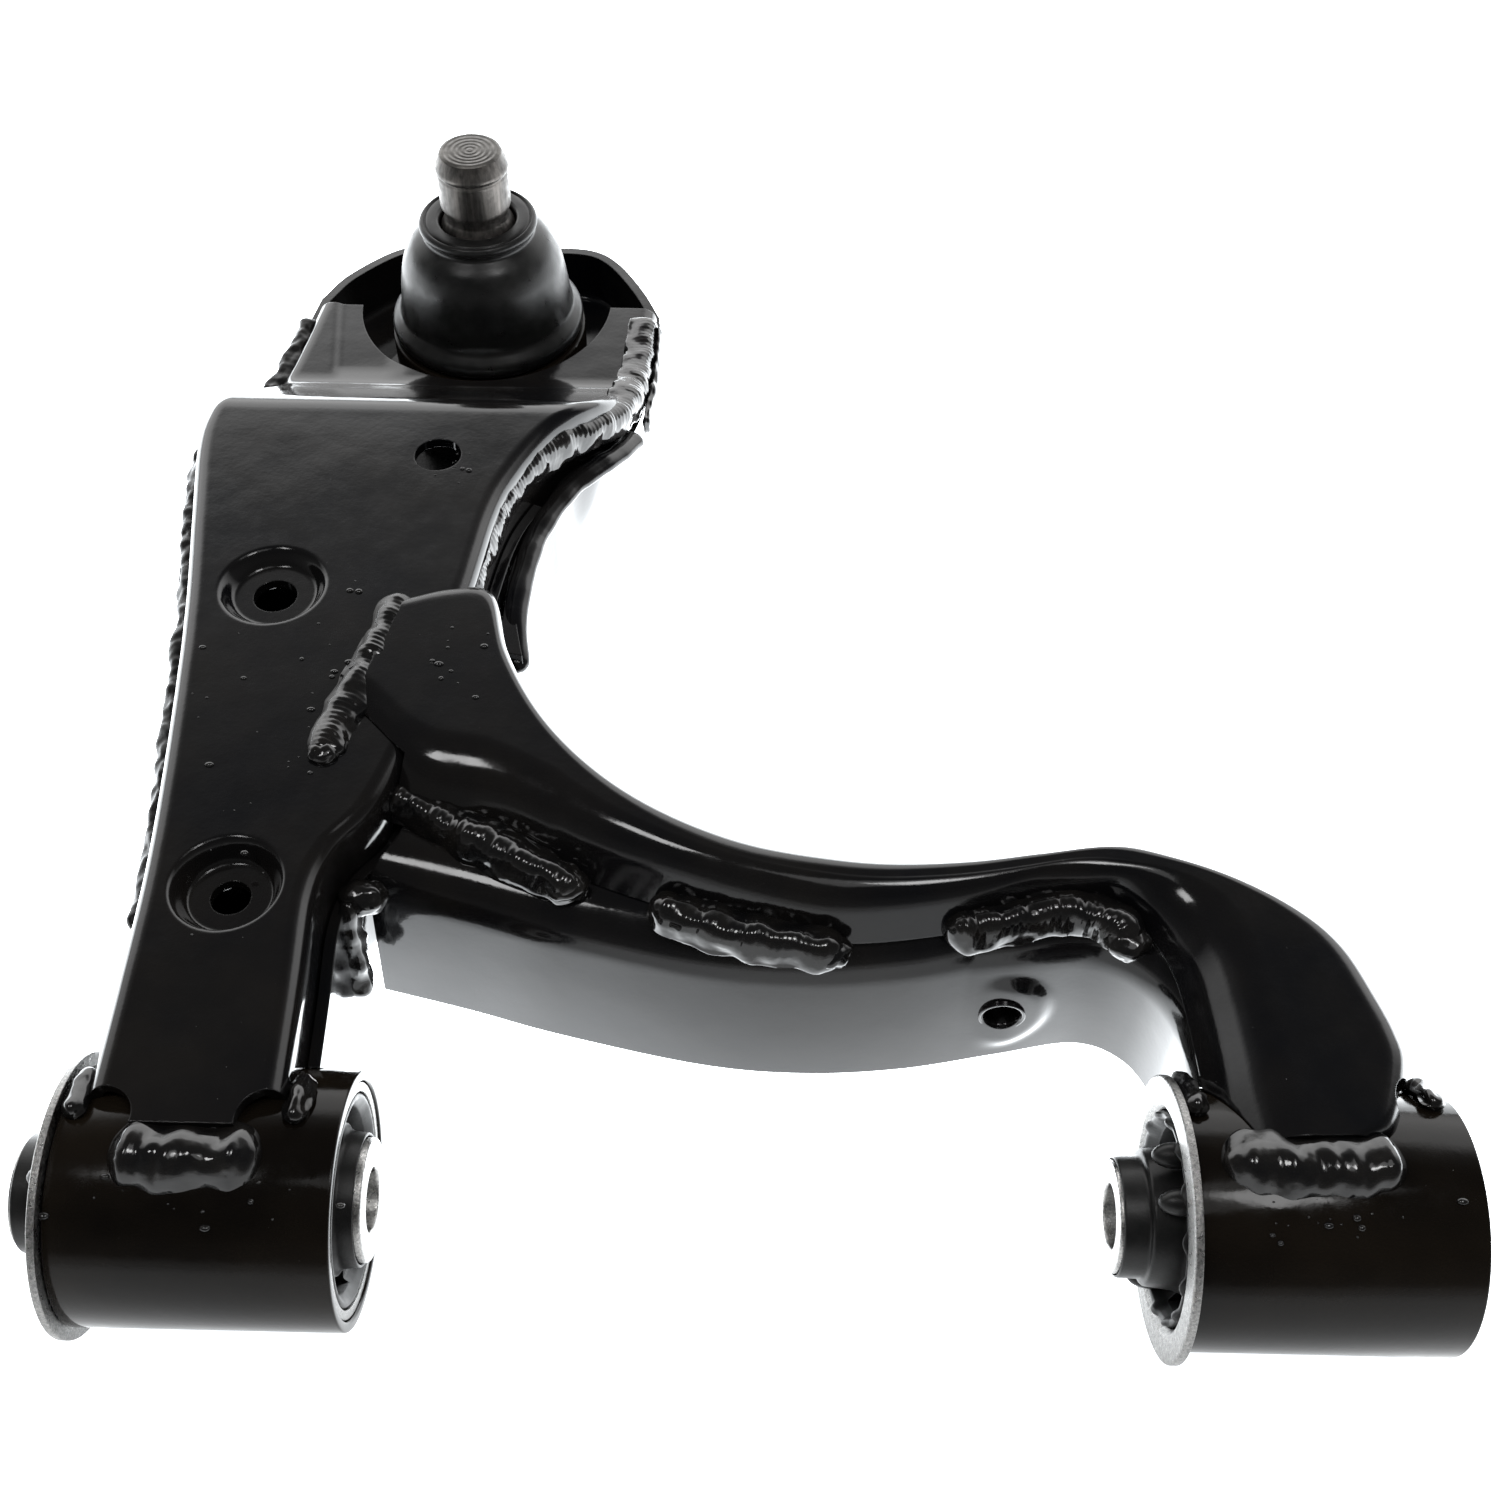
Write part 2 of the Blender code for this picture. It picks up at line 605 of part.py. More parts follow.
# The ball joint, turned about the stud's axis.


def ball_joint():
    centre = (BALL_X, BALL_Y, 0)
    socket_r = 20.6
    turned("ball_joint_housing",
           ((27.0, 8.0), (27.0, 1.5), (JOINT_HOUSING_R, 1.5), (JOINT_HOUSING_R, -20.8),
            (37.5, -20.8), (37.5, -25.0), (32.5, -25.0), (31.0, REST_Z), (socket_r, REST_Z),
            (socket_r, -3.0), (17.2, -3.0), (17.2, 1.5), (24.0, 8.0)),
           BLACK_PAINT, centre)
    seat_r = BALL_R + CLEARANCE
    inside = arc(0, BALL_Z, seat_r, -62, 23, 6)
    turned("ball_seat",
           ((socket_r - CLEARANCE, inside[-1][1]), (socket_r - CLEARANCE, -26.6),
            (inside[0][0], -26.6), *inside), SEAT_PLASTIC, centre, steps=28)
    turned("ball_joint_cover",
           ((0, -27.6), (17.0, -27.6), (20.2, -28.4), (20.2, -31.4), (16.5, -31.4), (12.0, -29.8),
            (0, -29.8)), BARE_STEEL, centre, steps=32)
    neck_r = 9.5
    neck_angle = math.degrees(math.acos(neck_r / BALL_R))
    turned("ball_stud",
           ((0, STUD_TOP), (9.7, STUD_TOP), (11.9, 64.4), (11.9, 63.6), (11.3, 62.9), (11.65, 62.0),
            (11.65, 50.4), (10.4, 47.6), (10.4, 45.4), (12.3, 42.8), (12.3, 38.6), (9.8, 14.0),
            *arc(0, BALL_Z, BALL_R, neck_angle, -70, 9), (0, BALL_Z - BALL_R * math.sin(math.radians(70)))),
           STUD_STEEL, centre, steps=32)
    turned("dust_boot",
           ((17.6, 44.6), (19.2, 43.8), (19.2, 42.4), (17.0, 41.4), (17.0, 38.6), (19.6, 38.2),
            (23.2, 35.8), (25.6, 32.4), (27.4, 26.0), (28.7, 17.0), (29.6, 10.6), (32.6, 8.0),
            (32.6, 3.6), (31.0, 1.85), (29.4, 1.85), (29.4, 8.2), (27.6, 9.4), (25.0, 25.0),
            (21.6, 32.4), (14.6, 36.4), (12.7, 38.2), (12.7, 44.0), (13.4, 44.6)),
           RUBBER, centre, steps=36)
    turned("boot_base_ring", ((29.1, 7.4), (29.1, 2.2), (27.4, 2.2), (27.4, 7.4)), BARE_STEEL, centre,
           steps=40)
    turned("boot_top_ring", ((18.6, 40.7), (18.6, 38.9), (17.3, 38.9), (17.3, 40.7)), BARE_STEEL, centre,
           steps=32)


# The weld beads.


def round_bush(x, start, end, radius, steps=6):
    """A path round a bush housing, with angles in degrees from straight up towards +Y."""
    reach = HOUSING_R + 0.35 + radius
    angles = [math.radians(start + (end - start) * i / steps) for i in range(steps + 1)]
    return [(x, reach * math.sin(a), reach * math.cos(a)) for a in angles]


def brace_front_path(x_start, x_end, radius):
    """A path along the front foot of the brace's upper shell."""
    front = smooth_line(BRACE_FRONT, 4)
    found = []
    for before, here, after in zip(front, front[1:], front[2:]):
        if x_start <= here.x <= x_end and here.y > 40:
            along = (after - before).normalized()
            off = Vector((along.y, -along.x)) * (radius + 0.4)
            found.append((here.x + off.x, here.y + off.y, BRACE_SEAM + radius + 0.4))
    return found


def seam_path(table, side, radius, y_start, y_end, step=6):
    """A path beside the upper shell, along the rim of whichever shell is outside it there."""
    found = []
    for y in spaced(y_start, y_end, step):
        rest = value_at(((224, LOWER_RIM), (236, CARRIER_LEG_RIM + 0.4)), y)
        if y > 236:
            rest = value_at(((240, CARRIER_LEG_RIM + 0.4), (284, CARRIER_RIM + 0.4)), y) + 0.4
        x = wall_x(table, y, side * (0.35 + radius))
        found.append((x, y, rest + 0.35 + radius))
    return found


def flat_bead(name, path, radius, flatness):
    """A bead lower than it is wide."""
    bead = weld_bead(name, [(x, y, z / flatness) for x, y, z in path], radius)
    bead.scale.z = flatness
    return bead


def welds():
    gap = 0.35
    weld_bead("left_seam_weld", seam_path(LEFT_WALL, -1, 2.3, 60, 238, 10), 2.3)
    weld_bead("left_flap_weld", seam_path(LEFT_WALL, -1, 2.3, 286, 322, 7), 2.3)
    weld_bead("right_seam_weld", seam_path(RIGHT_WALL, 1, 3.0, 172, 322), 3.0)
    for number, (start, end) in enumerate(((86, 114), (130, 180), (203, 259)), 1):
        weld_bead(f"brace_stitch_weld_{number}", brace_front_path(start, end, 3.4), 3.4)
    wide = 4.4
    flatness = 0.62
    foot = (Vector((46, 106)), Vector((60, 164)))
    off = Vector((-(foot[1] - foot[0]).y, (foot[1] - foot[0]).x)).normalized() * (wide + gap)
    tongue = [foot[0].lerp(foot[1], t / 8) + off for t in range(9)]
    flat_bead("tongue_weld", [(p.x, p.y, PLATE_TOP + gap + wide * flatness) for p in tongue], wide, flatness)
    for side, x_start, x_end, front in (("left", 16, 47, -6.0), ("right", 262, 302, -2.6)):
        radius = 3.9
        up = math.sqrt((HOUSING_R + gap + radius) ** 2 - front ** 2)
        weld_bead(f"{side}_bush_top_weld", [(x, front, up) for x in spaced(x_start, x_end, 4)], radius)
    side_r = 2.2
    for side, x, start, end in (("left_bush_outer", 4.9, 8, 30), ("left_bush_inner", 55.4, 8, 30),
                                ("right_bush_inner", 258.9, 24, 62), ("right_bush_outer", 315.0, 34, 66)):
        weld_bead(f"{side}_side_weld", round_bush(x, start, end, side_r), side_r)
    weld_bead("brace_corner_weld",
              [(57.4, 65.2 + FRONT_WALL_LEAN * t, -20 + 34 * t) for t in (0, 0.15, 0.35, 0.55, 0.75, 0.9, 1)])


main_arm()
ball_joint_carrier()
brace()
bush("left", 0.0)
bush("right", BUSH_PITCH)
ball_joint()
welds()
bpy.context.view_layer.update()
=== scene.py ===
"""The looks of the control arm: gloss black paint over pressed and welded sheet, rubber bushes, a dust boot.

Shapes are in millimetres from the bush axis at the left bush's flange face, as the CAD model's are,
and put into the shared frame in metres through that flange's box.

The outline tables and weld paths were read off the photograph: points picked by hand, carried through
a fitted camera by a scratch script, then rounded and adjusted. The camera's numbers are that fit's.
"""

import math
import random

import bmesh
import bpy
from mathutils import Matrix, Vector, noise


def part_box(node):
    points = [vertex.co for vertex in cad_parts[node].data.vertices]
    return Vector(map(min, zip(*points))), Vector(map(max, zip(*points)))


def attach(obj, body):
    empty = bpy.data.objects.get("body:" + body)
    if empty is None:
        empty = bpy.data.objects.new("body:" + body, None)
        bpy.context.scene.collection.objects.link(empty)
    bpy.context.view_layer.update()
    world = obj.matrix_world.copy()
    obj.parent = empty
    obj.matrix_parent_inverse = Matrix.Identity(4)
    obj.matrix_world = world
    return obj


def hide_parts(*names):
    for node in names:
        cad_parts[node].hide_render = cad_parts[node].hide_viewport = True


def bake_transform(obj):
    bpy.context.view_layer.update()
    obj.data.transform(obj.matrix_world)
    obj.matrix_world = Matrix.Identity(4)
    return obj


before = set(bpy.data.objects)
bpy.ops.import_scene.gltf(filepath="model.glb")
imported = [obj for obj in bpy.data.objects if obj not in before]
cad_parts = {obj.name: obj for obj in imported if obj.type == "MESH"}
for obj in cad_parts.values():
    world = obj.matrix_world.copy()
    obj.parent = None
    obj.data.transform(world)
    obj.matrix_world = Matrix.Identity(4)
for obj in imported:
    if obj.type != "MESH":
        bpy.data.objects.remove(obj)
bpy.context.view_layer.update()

MM = 0.001
FLANGE_LOW, FLANGE_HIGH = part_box("left_bush_outer_shell")
ZERO = Vector((FLANGE_LOW.x, (FLANGE_LOW.y + FLANGE_HIGH.y) / 2, (FLANGE_LOW.z + FLANGE_HIGH.z) / 2))
STUD_LOW, STUD_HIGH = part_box("ball_stud")

BUSH_PITCH = 254.0
HOUSING_R = 30.0
RELIEF_R = HOUSING_R + 0.25
JOINT_OPENING_R = 43.0
SHEET = 3.0
PLATE_TOP = 33.4
FLAP_TOP = 10.4
BEND_R = 5.0
BRACE_TOP = 36.8
SADDLE_TOP = 33.6
SEAM = 20.2
BRACE_BOTTOM = -24.0
BALL = Vector(((STUD_LOW.x + STUD_HIGH.x) / 2, (STUD_LOW.y + STUD_HIGH.y) / 2, 0)) - ZERO
BALL_X, BALL_Y, BALL_Z = BALL.x / MM, BALL.y / MM, -10.0

PLAIN_HOLE = (60.3, 224.1, 7.0)
# Each seat: x, y, hole radius, floor radius, depth.
SEATS = ((20.8, 168.3, 6.1, 11.0, 4.6), (27.9, 66.5, 5.0, 10.0, 6.6))
FRONT_HOLE = (222.0, -7.0, 4.9)
SEAT_SLOPE = 4.4

# Walls seen from above: MAIN and CARRIER side tables are (y, x), the others (x, y).
MAIN_LEFT = ((-2, 7.6), (40, 7.0), (76, 5.8), (120, 1.8), (162, -3.2), (200, -9.3), (229, -13.7),
             (244, -13.4), (262, -9.6), (286, -2.6), (306, 0.8), (332, 4.0))
MAIN_RIGHT = ((-2, 52.6), (40, 51.0), (66, 49.8), (80, 53.0), (95, 62.0), (130, 70.5), (172, 76.5),
              (202, 80.0), (219, 84.5), (237, 93.0), (250, 103.5), (262, 110.3), (286, 116.6),
              (302, 118.8), (332, 120.6))
CARRIER_LEFT = ((184, -13.9), (200, -16.4), (214, -18.7), (226, -20.2), (240, -18.4), (262, -14.2),
                (286, -7.2), (304, -3.6), (322, -2.0))
CARRIER_RIGHT = ((162, 89.8), (168, 88.4), (178, 86.4), (188, 85.9), (202, 87.4), (219, 92.0), (237, 99.0),
                 (250, 109.0), (262, 115.5), (286, 121.3), (304, 122.8), (322, 122.8))
CARRIER_BACK = ((121, 334), (114, 350), (104, 366), (94, 373), (78, 374), (46, 374), (26, 372),
                (9, 356), (1, 341))
BRACE_FRONT = ((46, 106), (64, 95), (86, 92), (113, 79), (131, 72), (154, 65), (178, 61), (204, 64),
               (224, 70), (243, 73), (254, 67), (260, 55), (262, 40), (263, 20), (264.5, 4))
BRACE_BACK = ((297, 5), (303, 9), (308.5, 24), (308.5, 32), (306, 42), (301, 56), (293, 66), (280, 75),
              (264, 82), (250, 85.5), (231, 83), (213, 80), (193, 78.5), (176, 79.5), (156, 83),
              (138, 90), (122.5, 99.5), (109, 112), (98, 127), (89, 146), (83, 167), (72, 168), (60, 164))
LOWER_FRONT = ((58, 72.5), (82, 66.5), (107, 59.5), (144, 51.5), (171, 49.5), (197, 51.5),
               (222, 56.5), (243, 60.5), (255, 56), (261.5, 46), (263, 34), (263.5, 16))
LOWER_BACK = ((306, 16), (312, 30), (310.5, 43), (305, 58), (296.5, 69.5), (282, 79), (265, 86),
              (250, 89.5), (231, 87), (213, 84), (193, 82.5), (177, 83.5), (157, 87), (140, 93.5),
              (125, 102), (110, 113), (98, 127), (88, 146), (81, 163))
LEAN = 8.0
SLOPE_START, SLOPE_END = 249, 284
ARM_END = 328
STUD_TOP = 69.4
BOOT_SPLIT = 20.0


# Materials.


def colour_ramp(tree, value, stops):
    node = tree.nodes.new("ShaderNodeValToRGB")
    tree.links.new(value, node.inputs["Fac"])
    elements = node.color_ramp.elements
    while len(elements) < len(stops):
        elements.new(0.5)
    for element, (position, colour) in zip(elements, stops):
        element.position = position
        element.color = (*colour, 1) if isinstance(colour, tuple) else (colour, colour, colour, 1)
    return node.outputs["Color"]


class Nodes:
    """A few words for building one material's node tree."""

    def __init__(self, name, colour, roughness, metallic=0.0):
        self.material = bpy.data.materials.new(name)
        self.material.use_nodes = True
        self.tree = self.material.node_tree
        self.shader = self.tree.nodes["Principled BSDF"]
        self.shader.inputs["Base Color"].default_value = (*colour, 1)
        self.shader.inputs["Roughness"].default_value = roughness
        self.shader.inputs["Metallic"].default_value = metallic
        self.place = self.tree.nodes.new("ShaderNodeTexCoord").outputs["Object"]

    def add(self, kind, inputs=None, **settings):
        node = self.tree.nodes.new(kind)
        for key, value in settings.items():
            setattr(node, key, value)
        for key, value in (inputs or {}).items():
            if isinstance(value, bpy.types.NodeSocket):
                self.tree.links.new(value, node.inputs[key])
            else:
                node.inputs[key].default_value = value
        return node

    def noise(self, scale, detail=2.0, roughness=0.5, place=None):
        return self.add("ShaderNodeTexNoise", {"Vector": place or self.place, "Scale": scale, "Detail": detail,
                                               "Roughness": roughness}).outputs["Fac"]

    def ramp(self, value, stops):
        return colour_ramp(self.tree, value, stops)

    def mix(self, factor, a, b):
        node = self.add("ShaderNodeMix", data_type="RGBA")
        for socket, value in ((node.inputs[0], factor), (node.inputs[6], a), (node.inputs[7], b)):
            if isinstance(value, bpy.types.NodeSocket):
                self.tree.links.new(value, socket)
            elif isinstance(value, tuple):
                socket.default_value = (*value, 1)
            else:
                socket.default_value = value
        return node.outputs[2]

    def bump(self, layers, below=None):
        """Bumps laid over each other: (height, strength, distance in millimetres)."""
        normal = below
        for height, strength, distance in layers:
            inputs = {"Height": height, "Strength": strength, "Distance": distance * MM}
            if normal is not None:
                inputs["Normal"] = normal
            normal = self.add("ShaderNodeBump", inputs).outputs["Normal"]
        return normal

    def link(self, value, socket):
        self.tree.links.new(value, self.shader.inputs[socket])

    def rounded(self, radius):
        return self.add("ShaderNodeBevel", {"Radius": radius * MM}, samples=4).outputs["Normal"]


def gloss_paint(name, peel, grime, edge, ior, dark, light):
    """Black chassis paint: a glossy skin with orange peel, dust nibs and faint mottling."""
    n = Nodes(name, (0.004, 0.004, 0.0042), 0.1)
    mottle = n.noise(22, 3, 0.6)
    cool = n.ramp(mottle, ((0.35, dark), (0.68, light)))
    specks = n.add("ShaderNodeTexVoronoi", {"Vector": n.place, "Scale": 420.0}).outputs["Distance"]
    speck = n.ramp(specks, ((0.0, 1.0), (0.055, 0.0)))
    sparse = n.ramp(n.noise(95, 1), ((0.60, 0.0), (0.68, 1.0)))
    nib = n.add("ShaderNodeMath", {0: speck, 1: sparse}, operation="MULTIPLY").outputs[0]
    n.link(n.mix(nib, cool, (0.05, 0.048, 0.045)), "Base Color")
    n.link(n.ramp(n.noise(160, 4, 0.65), ((0.3, 0.06), (0.75, 0.06 + grime))), "Roughness")
    n.shader.inputs["IOR"].default_value = ior
    layers = [(n.noise(17, 2), 0.3, 1.2), (n.noise(45, 2), 0.2, 0.7), (n.noise(620, 2, 0.6), 0.3, peel),
              (nib, 0.5, 0.12)]
    n.link(n.bump(layers, n.rounded(edge)), "Normal")
    return n.material


def weld_paint(name, low=0.05, high=0.2, ior=1.45):
    """The same paint over a weld bead, which is lumpy and catches more light."""
    n = Nodes(name, (0.008, 0.008, 0.0085), 0.16)
    n.link(n.ramp(n.noise(150, 3), ((0.35, (0.003, 0.003, 0.0033)), (0.75, (0.008, 0.0072, 0.0065)))),
           "Base Color")
    n.link(n.ramp(n.noise(330, 3, 0.6), ((0.3, low), (0.8, high))), "Roughness")
    n.shader.inputs["IOR"].default_value = ior
    cells = n.add("ShaderNodeTexVoronoi", {"Vector": n.place, "Scale": 330.0}, feature="SMOOTH_F1")
    n.link(n.bump([(n.noise(170, 2, 0.5), 0.4, 0.8), (cells.outputs["Distance"], 0.15, 0.4),
                   (n.noise(1300, 2), 0.12, 0.05)]), "Normal")
    return n.material


def bare_steel(name, grain, bright):
    """Bare steel, blasted or turned, with a little flash rust."""
    n = Nodes(name, (bright, bright * 0.98, bright * 0.94), 0.35, 1.0)
    fine = n.noise(1500, 4, 0.75)
    tone = n.ramp(fine, ((0.36, (bright * 0.42,) * 3), (0.66, (bright, bright * 0.985, bright * 0.95))))
    stain = n.ramp(n.noise(130, 4, 0.7), ((0.60, 0.0), (0.76, 0.5)))
    n.link(n.mix(stain, tone, (0.10, 0.08, 0.065)), "Base Color")
    n.link(n.ramp(n.noise(700, 3, 0.6), ((0.3, 0.22), (0.8, 0.5))), "Roughness")
    n.link(n.bump([(fine, 0.6, grain), (n.noise(300, 3), 0.3, grain)], n.rounded(0.35)), "Normal")
    return n.material


def stud_steel(name):
    """Phosphated forging with turning rings on its flat end."""
    n = Nodes(name, (0.1, 0.095, 0.09), 0.42, 0.85)
    centred = n.add("ShaderNodeMapping", {"Vector": n.place}, vector_type="POINT")
    centred.inputs["Location"].default_value = (-BALL.x - ZERO.x, -BALL.y - ZERO.y, 0)
    flat = n.add("ShaderNodeVectorMath", {0: centred.outputs["Vector"], 1: (1, 1, 0)}, operation="MULTIPLY")
    radius = n.add("ShaderNodeVectorMath", {0: flat.outputs["Vector"]}, operation="LENGTH").outputs["Value"]
    wave = n.add("ShaderNodeMath", {0: radius, 1: 2 * math.pi / (1.7 * MM)}, operation="MULTIPLY").outputs[0]
    rings = n.add("ShaderNodeMath", {0: wave}, operation="SINE").outputs[0]
    height = n.add("ShaderNodeSeparateXYZ", {"Vector": n.place}).outputs["Z"]
    top = n.add("ShaderNodeMath", {0: height, 1: ZERO.z + 68.9 * MM}, operation="GREATER_THAN").outputs[0]
    turned_rings = n.add("ShaderNodeMath", {0: rings, 1: top}, operation="MULTIPLY").outputs[0]
    streak_place = n.add("ShaderNodeMapping", {"Vector": n.place, "Scale": (1, 1, 0.06)}).outputs["Vector"]
    streaks = n.noise(420, 3, 0.6, streak_place)
    body = n.ramp(streaks, ((0.35, (0.03, 0.028, 0.026)), (0.7, (0.085, 0.078, 0.072))))
    worn = n.ramp(n.noise(260, 4, 0.7), ((0.3, (0.06, 0.057, 0.053)), (0.8, (0.12, 0.114, 0.107))))
    n.link(n.mix(top, body, worn), "Base Color")
    n.link(n.ramp(n.noise(500, 3), ((0.3, 0.3), (0.75, 0.55))), "Roughness")
    n.link(n.bump([(turned_rings, 0.7, 0.12), (n.noise(1100, 3, 0.7), 0.35, 0.1)], n.rounded(0.3)), "Normal")
    return n.material


def matte_rubber(name, tone, roughness, grain):
    """Moulded rubber: a dull skin with a bloom in its colour and very fine grain."""
    n = Nodes(name, (tone, tone, tone), roughness)
    bloom = n.noise(60, 4, 0.65)
    n.link(n.ramp(bloom, ((0.35, (tone * 0.75, tone * 0.75, tone * 0.76)),
                          (0.75, (tone * 1.5, tone * 1.48, tone * 1.42)))), "Base Color")
    n.link(n.ramp(n.noise(240, 3), ((0.3, roughness - 0.07), (0.8, roughness + 0.1))), "Roughness")
    n.shader.inputs["IOR"].default_value = 1.3
    n.link(n.bump([(n.noise(1700, 2, 0.6), 0.35, grain), (n.noise(90, 2), 0.2, 0.35)]), "Normal")
    return n.material


def seat_plastic(name):
    n = Nodes(name, (0.7, 0.68, 0.6), 0.42)
    n.link(n.ramp(n.noise(120, 3), ((0.3, (0.62, 0.6, 0.52)), (0.8, (0.76, 0.74, 0.67)))), "Base Color")
    n.link(n.bump([(n.noise(900, 2), 0.2, 0.1)]), "Normal")
    return n.material


PAINT = gloss_paint("black_chassis_paint", 0.05, 0.1, 0.45, 1.36,
                    (0.0018, 0.002, 0.0027), (0.0058, 0.0052, 0.0048))
TUBE_PAINT = gloss_paint("black_tube_paint", 0.05, 0.12, 0.45, 1.22,
                         (0.0026, 0.002, 0.0015), (0.0075, 0.0056, 0.0038))
WELD = weld_paint("painted_weld")
DULL_WELD = weld_paint("overspray_on_weld", 0.3, 0.6, 1.25)
FLANGE_STEEL = bare_steel("blasted_steel", 0.3, 0.3)
SLEEVE_STEEL = bare_steel("turned_steel", 0.12, 0.45)
STUD = stud_steel("phosphated_steel")
BOOT_RUBBER = matte_rubber("boot_rubber", 0.006, 0.34, 0.06)
BUSH_RUBBER = matte_rubber("bush_rubber", 0.006, 0.38, 0.08)
PLASTIC = seat_plastic("ball_seat_plastic")


# Mesh helpers.


def place(point):
    return ZERO + Vector(point) * MM


def mesh_object(name, bm):
    """An object in the shared frame from a mesh in millimetres."""
    for vertex in bm.verts:
        vertex.co = place(vertex.co)
    mesh = bpy.data.meshes.new(name)
    bm.to_mesh(mesh)
    bm.free()
    obj = bpy.data.objects.new(name, mesh)
    bpy.context.scene.collection.objects.link(obj)
    return obj


def piece(name, bm, material, replaces=(), body="arm", sharp=35):
    """A visible object, riding on a body and standing for CAD nodes."""
    obj = mesh_object(name, bm)
    obj.data.materials.append(material)
    obj.data.shade_smooth()
    obj.data.set_sharp_from_angle(angle=math.radians(sharp))
    if body:
        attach(obj, body)
    if replaces:
        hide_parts(*replaces)
    return obj


def tool(name, bm):
    """A closed mesh used only to cut others."""
    bm.normal_update()
    return mesh_object(name, bm)


def cut(obj, *tools, sharp=45):
    """Cut a mesh once and for all, and discard the tools."""
    for other in tools:
        modifier = obj.modifiers.new("cut", "BOOLEAN")
        modifier.object = other
        modifier.solver = "EXACT"
    bpy.context.view_layer.update()
    evaluated = obj.evaluated_get(bpy.context.evaluated_depsgraph_get())
    mesh = bpy.data.meshes.new_from_object(evaluated)
    obj.modifiers.clear()
    old = obj.data
    obj.data = mesh
    bpy.data.meshes.remove(old)
    mesh.set_sharp_from_angle(angle=math.radians(sharp))
    for other in tools:
        bpy.data.objects.remove(other, do_unlink=True)


def spline_point(before, start, end, after, t):
    return 0.5 * (2 * start + (end - before) * t + (2 * before - 5 * start + 4 * end - after) * t * t
                  + (3 * start - before - 3 * end + after) * t ** 3)


def smooth_line(points, per_span):
    line = [Vector(p) for p in points]
    padded = [2 * line[0] - line[1], *line, 2 * line[-1] - line[-2]]
    found = []
    for i in range(1, len(line)):
        for step in range(per_span):
            found.append(spline_point(*padded[i - 1:i + 3], step / per_span))
    return [*found, line[-1]]


def lengths_along(line):
    found = [0.0]
    for a, b in zip(line, line[1:]):
        found.append(found[-1] + (b - a).length)
    return found


def even_line(points, count):
    """The smooth curve through the points, at even steps along its length."""
    fine = smooth_line(points, 16)
    lengths = lengths_along(fine)
    found = []
    at = 0
    for i in range(count):
        goal = lengths[-1] * i / (count - 1)
        while at < len(fine) - 2 and lengths[at + 1] < goal:
            at += 1
        share = (goal - lengths[at]) / max(lengths[at + 1] - lengths[at], 1e-9)
        found.append(fine[at].lerp(fine[at + 1], min(max(share, 0), 1)))
    return found


def value_at(table, position):
    position = min(max(position, table[0][0]), table[-1][0])
    for (p0, v0), (p1, v1) in zip(table, table[1:]):
        if position <= p1:
            return v0 + (v1 - v0) * (position - p0) / (p1 - p0)
    return table[-1][1]


def smooth_table(table):
    return [(p.x, p.y) for p in smooth_line(table, 10)]


def ease(t):
    t = min(max(t, 0.0), 1.0)
    return t * t * (3 - 2 * t)


def inset(outline, distance):
    count = len(outline)
    area = sum(outline[i - 1].cross(outline[i]) for i in range(count))
    side = math.copysign(1.0, area)
    moved = []
    for i in range(count):
        into = (outline[i] - outline[i - 1]).normalized()
        out = (outline[(i + 1) % count] - outline[i]).normalized()
        normal_in = Vector((-into.y, into.x)) * side
        normal_out = Vector((-out.y, out.x)) * side
        middle = (normal_in + normal_out).normalized()
        reach = min(1.0 / max(middle.dot(normal_in), 0.35), 2.0)
        moved.append(outline[i] + middle * distance * reach)
    return moved


def skin(bm, rows, closed=False):
    """Faces between rows of vertices."""
    for near, far in zip(rows, rows[1:]):
        last = len(near) if closed else len(near) - 1
        for i in range(last):
            j = (i + 1) % len(near)
            bm.faces.new((near[i], near[j], far[j], far[i]))


def sheet_from(rows, thickness=SHEET, flip=False):
    """A sheet of even thickness whose outer face is the grid of points."""
    bm = bmesh.new()
    grid = [[bm.verts.new(p) for p in row] for row in rows]
    skin(bm, grid)
    if flip:
        bmesh.ops.reverse_faces(bm, faces=bm.faces)
    bm.normal_update()
    outer = list(bm.faces)
    copy = bmesh.ops.duplicate(bm, geom=list(bm.verts) + list(bm.edges) + outer)
    mapped = copy["vert_map"]
    for row in grid:
        for vertex in row:
            mapped[vertex].co = vertex.co - vertex.normal * thickness
    inner = [f for f in copy["geom"] if isinstance(f, bmesh.types.BMFace)]
    bmesh.ops.reverse_faces(bm, faces=inner)
    loop = ([grid[0][i] for i in range(len(grid[0]))] + [row[-1] for row in grid[1:]]
            + grid[-1][-2::-1] + [row[0] for row in grid[-2:0:-1]])
    for a, b in zip(loop, loop[1:] + loop[:1]):
        bm.faces.new((a, b, mapped[b], mapped[a]))
    bmesh.ops.recalc_face_normals(bm, faces=bm.faces)
    return bm


def cylinder(name, centre, radius, length, axis="Z", sides=96):
    bm = bmesh.new()
    bmesh.ops.create_cone(bm, cap_ends=True, segments=sides, radius1=radius, radius2=radius, depth=length)
    turn = {"Z": Matrix.Identity(4), "X": Matrix.Rotation(math.pi / 2, 4, "Y"),
            "Y": Matrix.Rotation(math.pi / 2, 4, "X")}[axis]
    bmesh.ops.transform(bm, matrix=Matrix.Translation(centre) @ turn, verts=bm.verts)
    return tool(name, bm)


def block(name, near_points, far_points):
    """A cutting tool between two matching outlines."""
    bm = bmesh.new()
    near = [bm.verts.new(p) for p in near_points]
    far = [bm.verts.new(p) for p in far_points]
    bm.faces.new(near)
    bm.faces.new(far[::-1])
    skin(bm, [near, far], closed=True)
    bmesh.ops.recalc_face_normals(bm, faces=bm.faces)
    return tool(name, bm)


